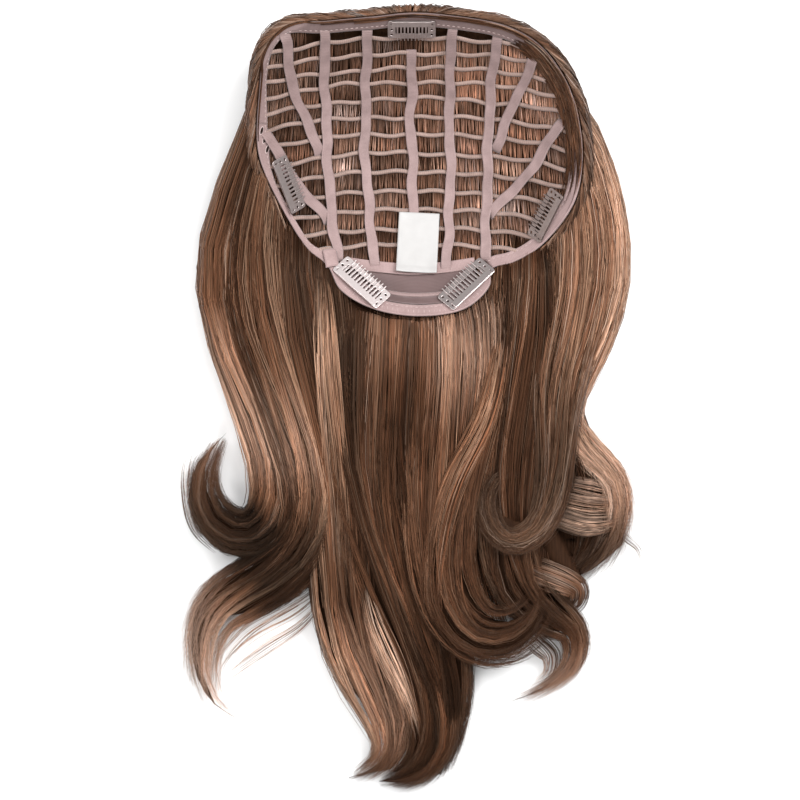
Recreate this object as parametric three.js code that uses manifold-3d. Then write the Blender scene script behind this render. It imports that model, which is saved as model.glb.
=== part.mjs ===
// Clip-in half wig with long wavy hair, lying on its hair with the open cap facing up.
// Millimetres, +Z up from the surface it lies on. +Y runs from the hair's tips to the cap's front edge.
// Left and right are as seen when looking down into the cap.
import * as THREE from "three";
import { mergeVertices } from "three/addons/utils/BufferGeometryUtils.js";
import Module from "manifold-3d";

const wasm = await Module();
wasm.setup();

// Cap bowl: a soft dome lying on its crown, deepest at its centre
const CAP_X = 4;
const CAP_Y = 157;
const CAP_SIDE = 102; // from the centre to either side
const CAP_FRONT = 85; // from the centre to the front edge
const CAP_NAPE = 125; // the nape wall is the shallow one
const CAP_DEPTH = 52;
const CROWN_HAIR = 10; // hair pressed flat between the crown and the surface
const CAP_TILT = 0.06; // rise per millimetre towards the front
const PLAN_SQUARENESS = 2.8;
const WALL_STEEPNESS = 2.2;
const MOST_REACH = 1.02; // past the rim the bowl stops rising here

// Layers of the cap, as heights of their middles above the bowl's surface
const TRACK = { width: 3, thickness: 1.2, level: 0 };
const BAND = { width: 7, thickness: 1.4, level: 0 };
const RIBBON = { width: 6.3, thickness: 1, level: 1.7 };
const LABEL = { width: 26, length: 39, thickness: 0.8, level: 3.2, turn: -3, x: 5, y: 98 };
const SEAM_GAP = 0.5; // between a piece and the one that it is sewn to
const STEP = 9; // length of one facet along a ribbon or band

// The rim seen from above, clockwise from the middle of the front edge
const RIM = [
  { x: 0, y: 240 },
  { x: 20, y: 239 },
  { x: 60, y: 232 },
  { x: 82, y: 219 },
  { x: 98, y: 196 },
  { x: 105, y: 173 },
  { x: 107, y: 147 },
  { x: 102, y: 122 },
  { x: 82, y: 96 },
  { x: 65, y: 86 },
  { x: 52, y: 82 },
  { x: 50, y: 71 },
  { x: 35, y: 57 },
  { x: 6, y: 52 },
  { x: -24, y: 57 },
  { x: -44, y: 69 },
  { x: -52, y: 84 },
  { x: -64, y: 94 },
  { x: -76, y: 112 },
  { x: -91, y: 142 },
  { x: -95, y: 157 },
  { x: -94, y: 188 },
  { x: -89, y: 217 },
  { x: -76, y: 231 },
  { x: -50, y: 235 },
  { x: -21, y: 238 },
];

// Edge bands: each runs along the rim from one row of the table to another
const EDGE_BANDS = [
  { name: "front_band", from: 20.5, to: 31.5 },
  { name: "right_band", from: 5.5, to: 10 },
  { name: "nape_binding", from: 10, to: 16 },
  { name: "left_band", from: 16, to: 20.5 },
];

// Ribbons sewn over the wefts, from the front of the cap towards the nape
const RIBBONS = [
  { name: "ribbon_left_long", x: [-54, -54, -52, -50, -46], y: [233, 188, 138, 115, 92] },
  { name: "ribbon_left_middle", x: [-27, -28, -29, -26, -23], y: [234, 195, 157, 119, 88] },
  { name: "ribbon_centre", x: [1, 1, 0, 2, 1, 3, 4], y: [219, 195, 176, 157, 141, 120, 86] },
  { name: "ribbon_right_middle", x: [27, 25, 26, 25, 23], y: [234, 195, 151, 113, 86] },
  { name: "ribbon_right_long", x: [55, 51, 50, 49, 48], y: [229, 188, 151, 119, 92] },
  { name: "ribbon_left_upper", x: [-78, -76, -68, -59.8], y: [226, 204, 179, 160] },
  { name: "ribbon_left_lower", x: [-91, -82, -69, -56.5], y: [168, 150, 132, 117] },
  { name: "ribbon_right_upper", x: [77, 69, 61, 56.4], y: [212, 192, 174, 163] },
  { name: "ribbon_right_lower", x: [93, 85, 70, 54.6], y: [169, 157, 135, 121] },
];

// Weft tracks: the sewn rows that carry the hair, spaced evenly along the bowl's middle line
const WEFTS = { count: 13, first: 226, pitch: 11.1, droop: 15, droopPower: 2.4, wave: 1.3, waveLength: 28 };

// Nape panel: a satin flap between its upper band and the binding
const NAPE_EDGE = [
  { x: -40, y: 86 },
  { x: -20, y: 83.5 },
  { x: 2, y: 82 },
  { x: 24, y: 83.5 },
  { x: 41, y: 86 },
];
const NAPE_PANEL = { thickness: 1.2, level: 0, from: 11.3, to: 14.9 }; // rows of the rim that it spans

// Snap clips: a stamped frame sewn on at its ends, and a toothed comb that flips up along one long edge.
// Each is seated above the bowl, clear of the tape or ribbon under it.
const CLIP = { thickness: 0.6, gap: 0.3, tab: 5, bar: 4, rail: 4.5, corner: 2, hole: 0.8, toothTip: 1.5 };
const CLIPS = [
  { name: "front_clip", x: 1, y: 232, turn: 180, length: 30, width: 15, teeth: 9, seat: 1.15 },
  { name: "left_clip", x: -78.5, y: 134.5, turn: -56, length: 36, width: 13, teeth: 10, seat: 2.65 },
  { name: "right_clip", x: 86.5, y: 115, turn: 51, length: 34, width: 13, teeth: 10, seat: 1.15 },
  { name: "nape_left_clip", x: -31, y: 72, turn: -47, length: 38, width: 15, teeth: 11, seat: 1.15 },
  { name: "nape_right_clip", x: 36, y: 71, turn: 49.5, length: 38, width: 15, teeth: 11, seat: 1.15 },
];

// Crown hair: the mound around the outside of the bowl. Each row is a level of the mound.
const MOUND = [
  { share: 0, grow: 0.76 },
  { share: 0.12, grow: 0.91 },
  { share: 0.35, grow: 1.02 },
  { share: 0.65, grow: 1.07 },
  { share: 0.9, grow: 1.06 },
  { share: 1.02, grow: 1.035 },
];
const MOUND_STEPS = 40;
const CAVITY = { level: -1.7, spread: 1.5, top: 110 };

// Locks: stations along each lock, with its middle, its width across and its thickness upwards
const LOCK_SIDES = 8;
const LOCK_STEPS_PER_STATION = 2;
const LOCK_GROOVES = 4; // strands twisted into each lock show as shallow grooves
const GROOVE_DEPTH = 0.07;
const LOCKS = {
  left_flip: [
    { x: -91, y: 212, z: 40, width: 14, thick: 36 },
    { x: -97, y: 169, z: 31, width: 18, thick: 46 },
    { x: -113, y: 125, z: 24, width: 26, thick: 46 },
    { x: -125, y: 83, z: 20, width: 28, thick: 40 },
    { x: -115, y: 37, z: 17, width: 30, thick: 34 },
    { x: -95, y: -2, z: 15, width: 32, thick: 30 },
    { x: -82, y: -36, z: 14, width: 34, thick: 26 },
    { x: -81, y: -67, z: 13, width: 36, thick: 24 },
    { x: -97, y: -87, z: 13, width: 35, thick: 22 },
    { x: -115, y: -86, z: 12, width: 33, thick: 20 },
    { x: -131, y: -70, z: 12, width: 25, thick: 17 },
    { x: -134, y: -50, z: 11, width: 16, thick: 12 },
    { x: -127, y: -33, z: 10, width: 8, thick: 8 },
    { x: -116, y: -21, z: 9, width: 2, thick: 3 },
  ],
  left_sweep: [
    { x: -91, y: 176, z: 40, width: 14, thick: 36 },
    { x: -96, y: 132, z: 29, width: 28, thick: 46 },
    { x: -103, y: 88, z: 23, width: 34, thick: 44 },
    { x: -98, y: 43, z: 20, width: 36, thick: 38 },
    { x: -82, y: 3, z: 18, width: 36, thick: 34 },
    { x: -66, y: -35, z: 16, width: 36, thick: 30 },
    { x: -59, y: -70, z: 14, width: 36, thick: 26 },
    { x: -70, y: -103, z: 12, width: 40, thick: 24 },
    { x: -96, y: -120, z: 11, width: 37, thick: 21 },
    { x: -124, y: -130, z: 10, width: 33, thick: 18 },
    { x: -134, y: -154, z: 9, width: 19, thick: 15 },
    { x: -133, y: -177, z: 8, width: 12, thick: 12 },
    { x: -124, y: -194, z: 7, width: 6, thick: 7 },
    { x: -106, y: -205, z: 6, width: 2, thick: 3 },
  ],
  left_inner: [
    { x: -79, y: 122, z: 30, width: 20, thick: 34 },
    { x: -74, y: 84, z: 25, width: 34, thick: 38 },
    { x: -69, y: 43, z: 22, width: 36, thick: 36 },
    { x: -55, y: -1, z: 20, width: 36, thick: 32 },
    { x: -47, y: -45, z: 17, width: 36, thick: 28 },
    { x: -45, y: -89, z: 14, width: 38, thick: 25 },
    { x: -43, y: -127, z: 12, width: 40, thick: 22 },
    { x: -38, y: -157, z: 11, width: 42, thick: 20 },
    { x: -18, y: -188, z: 10, width: 36, thick: 18 },
    { x: -9, y: -215, z: 10, width: 25, thick: 16 },
    { x: -16, y: -232, z: 9, width: 14, thick: 12 },
    { x: -40, y: -241, z: 8, width: 2, thick: 3 },
  ],
  nape_left: [
    { x: -37, y: 72, z: 24, width: 30, thick: 24 },
    { x: -38, y: 31, z: 24, width: 40, thick: 28 },
    { x: -37, y: -13, z: 20, width: 42, thick: 28 },
    { x: -30, y: -57, z: 17, width: 42, thick: 26 },
    { x: -20, y: -101, z: 15, width: 44, thick: 24 },
    { x: -6, y: -139, z: 13, width: 44, thick: 22 },
    { x: 10, y: -174, z: 12, width: 40, thick: 20 },
    { x: 19, y: -201, z: 11, width: 36, thick: 18 },
    { x: 16, y: -224, z: 11, width: 28, thick: 16 },
    { x: 1, y: -240, z: 10, width: 16, thick: 12 },
    { x: -21, y: -243, z: 8, width: 3, thick: 4 },
  ],
  nape_centre: [
    { x: -3, y: 62, z: 24, width: 40, thick: 24 },
    { x: -4, y: 25, z: 25, width: 46, thick: 28 },
    { x: -8, y: -20, z: 22, width: 46, thick: 28 },
    { x: -9, y: -64, z: 19, width: 44, thick: 26 },
    { x: -1, y: -108, z: 17, width: 42, thick: 24 },
    { x: 13, y: -142, z: 16, width: 40, thick: 22 },
    { x: 25, y: -172, z: 14, width: 34, thick: 20 },
    { x: 27, y: -199, z: 12, width: 22, thick: 16 },
    { x: 24, y: -221, z: 11, width: 14, thick: 12 },
    { x: 19, y: -240, z: 10, width: 4, thick: 5 },
  ],
  nape_curl: [
    { x: 28, y: 66, z: 24, width: 36, thick: 24 },
    { x: 33, y: 28, z: 26, width: 44, thick: 28 },
    { x: 28, y: -13, z: 25, width: 46, thick: 28 },
    { x: 19, y: -54, z: 24, width: 44, thick: 28 },
    { x: 16, y: -92, z: 24, width: 42, thick: 26 },
    { x: 24, y: -127, z: 24, width: 40, thick: 26 },
    { x: 43, y: -149, z: 24, width: 36, thick: 24 },
    { x: 66, y: -149, z: 23, width: 28, thick: 20 },
    { x: 81, y: -134, z: 22, width: 18, thick: 15 },
    { x: 85, y: -114, z: 20, width: 5, thick: 6 },
  ],
  right_spiral: [
    { x: 102, y: 176, z: 42, width: 14, thick: 36 },
    { x: 110, y: 132, z: 30, width: 28, thick: 46 },
    { x: 113, y: 88, z: 25, width: 34, thick: 46 },
    { x: 104, y: 43, z: 23, width: 34, thick: 42 },
    { x: 90, y: 3, z: 24, width: 30, thick: 36 },
    { x: 89, y: -34, z: 26, width: 28, thick: 30 },
    { x: 88, y: -64, z: 28, width: 26, thick: 24 },
    { x: 72, y: -85, z: 30, width: 26, thick: 20 },
    { x: 54, y: -76, z: 30, width: 20, thick: 18 },
    { x: 51, y: -57, z: 29, width: 14, thick: 14 },
    { x: 63, y: -47, z: 27, width: 9, thick: 8 },
    { x: 73, y: -55, z: 25, width: 3, thick: 4 },
  ],
  right_flick: [
    { x: 84, y: 215, z: 42, width: 14, thick: 36 },
    { x: 108, y: 176, z: 34, width: 18, thick: 46 },
    { x: 121, y: 132, z: 25, width: 26, thick: 46 },
    { x: 127, y: 91, z: 20, width: 28, thick: 40 },
    { x: 122, y: 53, z: 17, width: 28, thick: 34 },
    { x: 106, y: 20, z: 15, width: 26, thick: 30 },
    { x: 94, y: -8, z: 14, width: 22, thick: 24 },
    { x: 110, y: -35, z: 13, width: 22, thick: 19 },
    { x: 129, y: -46, z: 12, width: 18, thick: 16 },
    { x: 135, y: -64, z: 12, width: 16, thick: 15 },
    { x: 130, y: -90, z: 11, width: 16, thick: 13 },
    { x: 114, y: -107, z: 10, width: 12, thick: 10 },
    { x: 95, y: -115, z: 9, width: 3, thick: 4 },
  ],
  right_inner: [
    { x: 85, y: 110, z: 32, width: 20, thick: 36 },
    { x: 82, y: 72, z: 26, width: 36, thick: 40 },
    { x: 77, y: 31, z: 22, width: 38, thick: 36 },
    { x: 69, y: -10, z: 19, width: 38, thick: 32 },
    { x: 62, y: -51, z: 17, width: 38, thick: 28 },
    { x: 60, y: -89, z: 15, width: 38, thick: 24 },
    { x: 69, y: -120, z: 14, width: 34, thick: 22 },
    { x: 89, y: -137, z: 13, width: 28, thick: 20 },
    { x: 103, y: -144, z: 12, width: 18, thick: 16 },
    { x: 107, y: -159, z: 11, width: 14, thick: 12 },
    { x: 100, y: -175, z: 9, width: 10, thick: 9 },
    { x: 83, y: -185, z: 8, width: 6, thick: 6 },
    { x: 62, y: -193, z: 7, width: 2, thick: 3 },
  ],
  right_fold: [
    { x: 82, y: -76, z: 14, width: 24, thick: 20 },
    { x: 95, y: -101, z: 14, width: 22, thick: 18 },
    { x: 105, y: -114, z: 14, width: 15, thick: 14 },
    { x: 106, y: -127, z: 13, width: 10, thick: 10 },
    { x: 95, y: -134, z: 12, width: 3, thick: 4 },
  ],
  right_back: [
    { x: 90, y: 10, z: 12, width: 24, thick: 24 },
    { x: 102, y: -30, z: 12, width: 26, thick: 22 },
    { x: 110, y: -62, z: 12, width: 30, thick: 20 },
    { x: 116, y: -84, z: 11, width: 26, thick: 16 },
    { x: 108, y: -104, z: 10, width: 14, thick: 12 },
    { x: 94, y: -110, z: 9, width: 4, thick: 5 },
  ],
  right_under: [
    { x: 72, y: -50, z: 10, width: 60, thick: 18 },
    { x: 76, y: -92, z: 9, width: 64, thick: 16 },
    { x: 82, y: -122, z: 8, width: 50, thick: 13 },
    { x: 78, y: -142, z: 7, width: 22, thick: 9 },
  ],
  under_fall: [
    { x: 4, y: 110, z: 6, width: 120, thick: 24 },
    { x: 2, y: 62, z: 12, width: 150, thick: 28 },
    { x: 2, y: 0, z: 12, width: 160, thick: 28 },
    { x: 2, y: -50, z: 11, width: 140, thick: 26 },
    { x: 2, y: -101, z: 10, width: 110, thick: 22 },
    { x: 8, y: -139, z: 9, width: 70, thick: 18 },
    { x: 14, y: -170, z: 8, width: 24, thick: 12 },
  ],
};

const CLOTH = new THREE.MeshStandardMaterial({ color: 0xb9a09d, roughness: 0.8, metalness: 0 });
const SATIN = new THREE.MeshStandardMaterial({ color: 0x8f7674, roughness: 0.5, metalness: 0 });
const STEEL = new THREE.MeshStandardMaterial({ color: 0xb3a7a4, roughness: 0.3, metalness: 1 });
const WHITE = new THREE.MeshStandardMaterial({ color: 0xf4f2f0, roughness: 0.7, metalness: 0 });
const HAIR = new THREE.MeshStandardMaterial({ color: 0x553a2c, roughness: 0.4, metalness: 0 });

// Height of the bowl's surface above the floor
function capHeight(x, y) {
  const along = y - CAP_Y;
  const sideways = Math.abs(x - CAP_X) / CAP_SIDE;
  const lengthwise = Math.abs(along) / (along > 0 ? CAP_FRONT : CAP_NAPE);
  const sum = sideways ** PLAN_SQUARENESS + lengthwise ** PLAN_SQUARENESS;
  const reach = Math.min(sum ** (1 / PLAN_SQUARENESS), MOST_REACH);
  return CROWN_HAIR + CAP_DEPTH * reach ** WALL_STEEPNESS + CAP_TILT * along;
}

// Upward normal of the bowl's surface
function capNormal(x, y) {
  const d = 0.5;
  const slopeX = (capHeight(x + d, y) - capHeight(x - d, y)) / (2 * d);
  const slopeY = (capHeight(x, y + d) - capHeight(x, y - d)) / (2 * d);
  return new THREE.Vector3(-slopeX, -slopeY, 1).normalize();
}

// Point over a plan position, raised from the bowl's surface along its normal
function onCap(x, y, level) {
  return new THREE.Vector3(x, y, capHeight(x, y)).addScaledVector(capNormal(x, y), level);
}

// Smooth plan curve through points
function planCurve(points, closed = false) {
  return new THREE.CatmullRomCurve3(
    points.map((p) => new THREE.Vector3(p.x, p.y, 0)),
    closed,
  );
}

// Closed surface through a row of sections that have equally many corners
function loft(sections) {
  const corners = sections[0].length;
  const middles = [sections[0], sections.at(-1)].map((section) => {
    const sum = section.reduce((total, p) => total.add(p), new THREE.Vector3());
    return sum.divideScalar(corners);
  });
  const points = [...sections.flat(), ...middles];
  const lastRow = (sections.length - 1) * corners;
  const faces = [];
  for (let j = 0; j < corners; j++) {
    const k = (j + 1) % corners;
    for (let row = 0; row < lastRow; row += corners) {
      faces.push(row + j, row + k, row + corners + k);
      faces.push(row + j, row + corners + k, row + corners + j);
    }
    faces.push(points.length - 2, k, j);
    faces.push(points.length - 1, lastRow + j, lastRow + k);
  }
  return facingOut(points, faces);
}

// Geometry of a closed surface, turned so that its faces point outwards
function facingOut(points, faces) {
  let volume = 0;
  for (let i = 0; i < faces.length; i += 3) {
    const [a, b, c] = [0, 1, 2].map((n) => points[faces[i + n]]);
    volume += a.dot(new THREE.Vector3().crossVectors(b, c));
  }
  const index = volume < 0 ? [...faces].reverse() : faces;
  return new THREE.BufferGeometry().setFromPoints(points).setIndex(index);
}

// Flat piece on the bowl between two edges, which are equally long lists of plan points
function clothBetween(edgeA, edgeB, { level, thickness }) {
  const half = thickness / 2;
  return loft(
    edgeA.map((a, i) => {
      const b = edgeB[i];
      return [
        onCap(a.x, a.y, level - half),
        onCap(b.x, b.y, level - half),
        onCap(b.x, b.y, level + half),
        onCap(a.x, a.y, level + half),
      ];
    }),
  );
}

// Points of a plan curve moved sideways, to the left of its direction
function sidestep(curve, count, distance, from = 0, to = 1) {
  const edge = [];
  for (let i = 0; i <= count; i++) {
    const t = from + ((to - from) * i) / count;
    const wrapped = ((t % 1) + 1) % 1;
    const at = curve.closed ? wrapped : t;
    const ahead = curve.getTangent(at);
    edge.push(curve.getPoint(at).add(new THREE.Vector3(-ahead.y, ahead.x, 0).multiplyScalar(distance)));
  }
  return edge;
}

// Ribbon of constant width along a plan curve
function ribbonAlong(curve, size) {
  const count = Math.ceil(curve.getLength() / STEP);
  const half = size.width / 2;
  return clothBetween(sidestep(curve, count, half), sidestep(curve, count, -half), size);
}

const rimCurve = planCurve(RIM, true);
const rimPolygon = rimCurve.getPoints(RIM.length * 6);

// Distance from a plan position to the rim, negative outside it
function insideRim(x, y) {
  const here = new THREE.Vector3(x, y, 0);
  const nearest = new THREE.Vector3();
  let distance = Infinity;
  let inside = false;
  rimPolygon.slice(1).forEach((b, i) => {
    const a = rimPolygon[i];
    new THREE.Line3(a, b).closestPointToPoint(here, true, nearest);
    distance = Math.min(distance, here.distanceTo(nearest));
    const crosses = a.y > y !== b.y > y && x < a.x + ((b.x - a.x) * (y - a.y)) / (b.y - a.y);
    inside = crosses ? !inside : inside;
  });
  return inside ? distance : -distance;
}

const wig = new THREE.Group();

function addPiece(name, geometry, material, parent = wig) {
  const mesh = new THREE.Mesh(geometry, material);
  mesh.name = name;
  parent.add(mesh);
  return mesh;
}

// Edge bands: folded tape round the rim, with its inner edge one band width in
for (const { name, from, to } of EDGE_BANDS) {
  const gap = 0.02;
  const start = (from + gap) / RIM.length;
  const end = (to - gap) / RIM.length;
  const count = Math.ceil((rimCurve.getLength() * (end - start)) / STEP);
  const outer = sidestep(rimCurve, count, 0, start, end);
  const inner = sidestep(rimCurve, count, -BAND.width, start, end);
  addPiece(name, clothBetween(outer, inner, BAND), CLOTH);
}

// Weft tracks: rows across the bowl that droop towards the sides and ripple between the ribbons
function weftPoint(y, x, row) {
  const share = Math.abs(x - CAP_X) / CAP_SIDE;
  const ripple = WEFTS.wave * Math.cos((2 * Math.PI * (x - CAP_X)) / WEFTS.waveLength + row);
  return { x, y: y - WEFTS.droop * share ** WEFTS.droopPower + ripple };
}

function weftEnd(y, row, direction) {
  const clear = BAND.width + SEAM_GAP + TRACK.width;
  let x = CAP_X;
  while (insideRim(x + direction, weftPoint(y, x + direction, row).y) > clear) {
    x += direction;
  }
  return x;
}

let weftY = WEFTS.first;
for (let row = 1; row <= WEFTS.count; row++) {
  const y = weftY;
  const left = weftEnd(y, row, -1);
  const right = weftEnd(y, row, 1);
  const count = Math.ceil((right - left) / STEP);
  const points = Array.from({ length: count + 1 }, (_, i) => {
    return weftPoint(y, left + ((right - left) * i) / count, row);
  });
  const name = "weft_" + String(row).padStart(2, "0");
  addPiece(name, ribbonAlong(planCurve(points), TRACK), CLOTH);
  for (let walked = 0; walked < WEFTS.pitch; ) {
    const here = capHeight(CAP_X, weftY);
    weftY -= 1;
    walked += Math.hypot(1, capHeight(CAP_X, weftY) - here);
  }
}

// Ribbons over the wefts
for (const { name, x, y } of RIBBONS) {
  const curve = planCurve(x.map((value, i) => ({ x: value, y: y[i] })));
  addPiece(name, ribbonAlong(curve, RIBBON), CLOTH);
}

// Nape: the satin panel hangs from its upper band and fills the binding's curve
const napeCurve = planCurve(NAPE_EDGE);
addPiece("nape_band", ribbonAlong(napeCurve, BAND), CLOTH);

const napeSteps = 16;
const panelEnds = [NAPE_PANEL.from / RIM.length, NAPE_PANEL.to / RIM.length];
const bindingInner = sidestep(rimCurve, napeSteps, -BAND.width - SEAM_GAP, ...panelEnds);
const panelTop = bindingInner.map((p) => {
  const share = THREE.MathUtils.clamp((p.x - NAPE_EDGE[0].x) / (NAPE_EDGE.at(-1).x - NAPE_EDGE[0].x), 0, 1);
  return { x: p.x, y: napeCurve.getPoint(share).y - BAND.width / 2 - SEAM_GAP };
});
addPiece("nape_panel", clothBetween(panelTop, bindingInner, NAPE_PANEL), SATIN);

// Label sewn over the centre ribbon and the nape band
const labelTurn = THREE.MathUtils.degToRad(LABEL.turn);
const labelEnd = new THREE.Vector2(0, LABEL.length / 2).rotateAround(new THREE.Vector2(), labelTurn);
const labelCurve = planCurve([
  { x: LABEL.x + labelEnd.x, y: LABEL.y + labelEnd.y },
  { x: LABEL.x - labelEnd.x, y: LABEL.y - labelEnd.y },
]);
addPiece("label", ribbonAlong(labelCurve, LABEL), WHITE);

// Snap clips
function roundedBox(path, x0, y0, x1, y1, r) {
  path.moveTo(x0 + r, y0);
  path.lineTo(x1 - r, y0).quadraticCurveTo(x1, y0, x1, y0 + r);
  path.lineTo(x1, y1 - r).quadraticCurveTo(x1, y1, x1 - r, y1);
  path.lineTo(x0 + r, y1).quadraticCurveTo(x0, y1, x0, y1 - r);
  path.lineTo(x0, y0 + r).quadraticCurveTo(x0, y0, x0 + r, y0);
  return path;
}

function stamped(shape) {
  return new THREE.ExtrudeGeometry(shape, { depth: CLIP.thickness, bevelEnabled: false, curveSegments: 3 });
}

function clipFrame({ length, width }) {
  const end = length / 2;
  const side = width / 2;
  const shape = roundedBox(new THREE.Shape(), -end, -side, end, side, CLIP.corner);
  const window = [-end + CLIP.tab, -side + CLIP.rail, end - CLIP.tab, side - CLIP.bar];
  shape.holes.push(roundedBox(new THREE.Path(), ...window, CLIP.corner / 2));
  for (const x of [-end + CLIP.tab / 2, end - CLIP.tab / 2]) {
    for (const y of [-side * 0.6, 0, side * 0.6]) {
      shape.holes.push(new THREE.Path().absarc(x, y, CLIP.hole, 0, 2 * Math.PI));
    }
  }
  return stamped(shape);
}

function clipComb({ length, width, teeth }) {
  const end = length / 2 - CLIP.tab / 2;
  const back = -width / 2;
  const root = back + CLIP.rail;
  const tip = width / 2 + CLIP.toothTip;
  const pitch = (length - 2 * CLIP.tab) / teeth;
  const half = pitch * 0.3;
  const outline = [new THREE.Vector2(-end, back), new THREE.Vector2(end, back), new THREE.Vector2(end, root)];
  for (let i = teeth - 1; i >= 0; i--) {
    const x = (i - (teeth - 1) / 2) * pitch;
    outline.push(new THREE.Vector2(x + half, root), new THREE.Vector2(x + half / 2, tip));
    outline.push(new THREE.Vector2(x - half / 2, tip), new THREE.Vector2(x - half, root));
  }
  outline.push(new THREE.Vector2(-end, root));
  return stamped(new THREE.Shape(outline));
}

// Frame of axes for a clip: along its length, across it and away from the cap
function clipPlace({ x, y, turn, length, width, seat }) {
  const away = capNormal(x, y);
  const heading = THREE.MathUtils.degToRad(turn);
  const along = new THREE.Vector3(Math.cos(heading), Math.sin(heading), 0);
  along.addScaledVector(away, -along.dot(away)).normalize();
  const across = new THREE.Vector3().crossVectors(away, along);
  const middle = new THREE.Vector3(x, y, capHeight(x, y));
  let lift = seat;
  for (const u of [-0.5, -0.25, 0, 0.25, 0.5]) {
    for (const v of [-0.5, 0, 0.6]) {
      const corner = middle.clone().addScaledVector(along, u * length).addScaledVector(across, v * width);
      const above = (corner.z - capHeight(corner.x, corner.y)) * capNormal(corner.x, corner.y).z;
      lift = Math.max(lift, seat - above);
    }
  }
  middle.addScaledVector(away, lift);
  return new THREE.Matrix4().makeBasis(along, across, away).setPosition(middle);
}

for (const clip of CLIPS) {
  const group = new THREE.Group();
  group.applyMatrix4(clipPlace(clip));
  wig.add(group);
  addPiece(clip.name + "_frame", clipFrame(clip), STEEL, group);
  const comb = addPiece(clip.name + "_comb", clipComb(clip), STEEL, group);
  comb.position.z = CLIP.thickness + CLIP.gap;
}

// Hair
function solidOf(geometry) {
  const bare = new THREE.BufferGeometry().setAttribute("position", geometry.getAttribute("position"));
  const merged = mergeVertices(bare.setIndex(geometry.index));
  return new wasm.Manifold(
    new wasm.Mesh({
      numProp: 3,
      vertProperties: merged.getAttribute("position").array,
      triVerts: new Uint32Array(merged.index.array),
    }),
  );
}

function geometryOf(solid) {
  const mesh = solid.getMesh();
  const geometry = new THREE.BufferGeometry();
  geometry.setAttribute("position", new THREE.BufferAttribute(mesh.vertProperties, 3));
  return geometry.setIndex(new THREE.BufferAttribute(mesh.triVerts, 1));
}

// Ring of points round the rim, spread outwards and placed by a height for each
function rimRing(spread, height) {
  return sidestep(rimCurve, MOUND_STEPS, spread).slice(0, -1).map((p) => {
    return new THREE.Vector3(p.x, p.y, height(p.x, p.y));
  });
}

// The same ring drawn towards or away from the middle of the cap
function scaled(ring, share, height) {
  return ring.map((p) => {
    const x = CAP_X + (p.x - CAP_X) * share;
    const y = CAP_Y + (p.y - CAP_Y) * share;
    return new THREE.Vector3(x, y, height({ x, y, z: p.z }));
  });
}

function crownMound() {
  const rim = rimRing(0, capHeight);
  const walls = MOUND.map(({ share, grow }) => scaled(rim, grow, (p) => share * p.z));
  const underside = scaled(rim, 0.4, () => 0);
  const top = scaled(rim, 0.5, () => CAP_DEPTH);
  return loft([underside, ...walls, top]);
}

// Everything over the bowl's surface, which hair keeps out of
function capCavity() {
  const under = (x, y) => capHeight(x, y) + CAVITY.level / capNormal(x, y).z;
  const rim = rimRing(CAVITY.spread, under);
  const bowl = [0.1, 0.3, 0.5, 0.65, 0.8, 0.9].map((share) => scaled(rim, share, (p) => under(p.x, p.y)));
  const top = rimRing(CAVITY.spread, () => CAVITY.top);
  return loft([...bowl, rim, top]);
}

function lockSolid(stations) {
  const route = new THREE.CatmullRomCurve3(stations.map((s) => new THREE.Vector3(s.x, s.y, s.z)));
  const count = (stations.length - 1) * LOCK_STEPS_PER_STATION;
  const sections = [];
  for (let i = 0; i <= count; i++) {
    const t = i / count;
    const at = t * (stations.length - 1);
    const before = stations[Math.floor(at)];
    const after = stations[Math.ceil(at)];
    const width = THREE.MathUtils.lerp(before.width, after.width, at % 1);
    const thick = THREE.MathUtils.lerp(before.thick, after.thick, at % 1);
    const ahead = route.getTangent(t);
    const across = new THREE.Vector3(-ahead.y, ahead.x, 0).normalize();
    const up = new THREE.Vector3().crossVectors(ahead, across).multiplyScalar(-1);
    const middle = route.getPoint(t);
    sections.push(
      Array.from({ length: LOCK_SIDES }, (_, j) => {
        const angle = (2 * Math.PI * j) / LOCK_SIDES;
        const groove = 1 - GROOVE_DEPTH + GROOVE_DEPTH * Math.cos(LOCK_GROOVES * angle + 4 * t);
        const p = middle.clone();
        p.addScaledVector(across, (width / 2) * groove * Math.cos(angle));
        p.addScaledVector(up, (thick / 2) * groove * Math.sin(angle));
        p.z = Math.max(p.z, 0);
        return p;
      }),
    );
  }
  return solidOf(loft(sections));
}

const locks = Object.values(LOCKS).map(lockSolid);
const fused = locks.reduce((hair, lock) => hair.add(lock), solidOf(crownMound()));
const trimmed = fused.subtract(solidOf(capCavity())).decompose();
const hair = trimmed.reduce((largest, body) => (body.volume() > largest.volume() ? body : largest));
addPiece("hair", geometryOf(hair), HAIR);

export default wig;
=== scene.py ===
import math

import bmesh
import bpy
import numpy as np
from mathutils import Matrix, Vector


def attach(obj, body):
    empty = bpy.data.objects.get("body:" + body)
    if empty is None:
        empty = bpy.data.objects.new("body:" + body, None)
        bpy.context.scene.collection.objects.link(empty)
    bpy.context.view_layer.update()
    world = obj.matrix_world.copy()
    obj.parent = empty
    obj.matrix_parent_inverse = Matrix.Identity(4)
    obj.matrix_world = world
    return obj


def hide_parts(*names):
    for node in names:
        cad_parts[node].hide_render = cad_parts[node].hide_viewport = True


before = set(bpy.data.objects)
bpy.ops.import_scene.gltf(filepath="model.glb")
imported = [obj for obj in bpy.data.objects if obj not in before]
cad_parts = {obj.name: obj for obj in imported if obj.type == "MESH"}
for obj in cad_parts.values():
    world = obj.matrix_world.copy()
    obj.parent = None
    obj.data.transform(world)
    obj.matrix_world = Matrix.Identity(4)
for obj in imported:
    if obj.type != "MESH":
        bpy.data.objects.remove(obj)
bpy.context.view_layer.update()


# The edge tapes: folded woven tape, pale mauve, machine sewn round the rim of the cap.
# They lie on the bowl that the soft cap makes when it rests on its crown.
MM = 0.001
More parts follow.
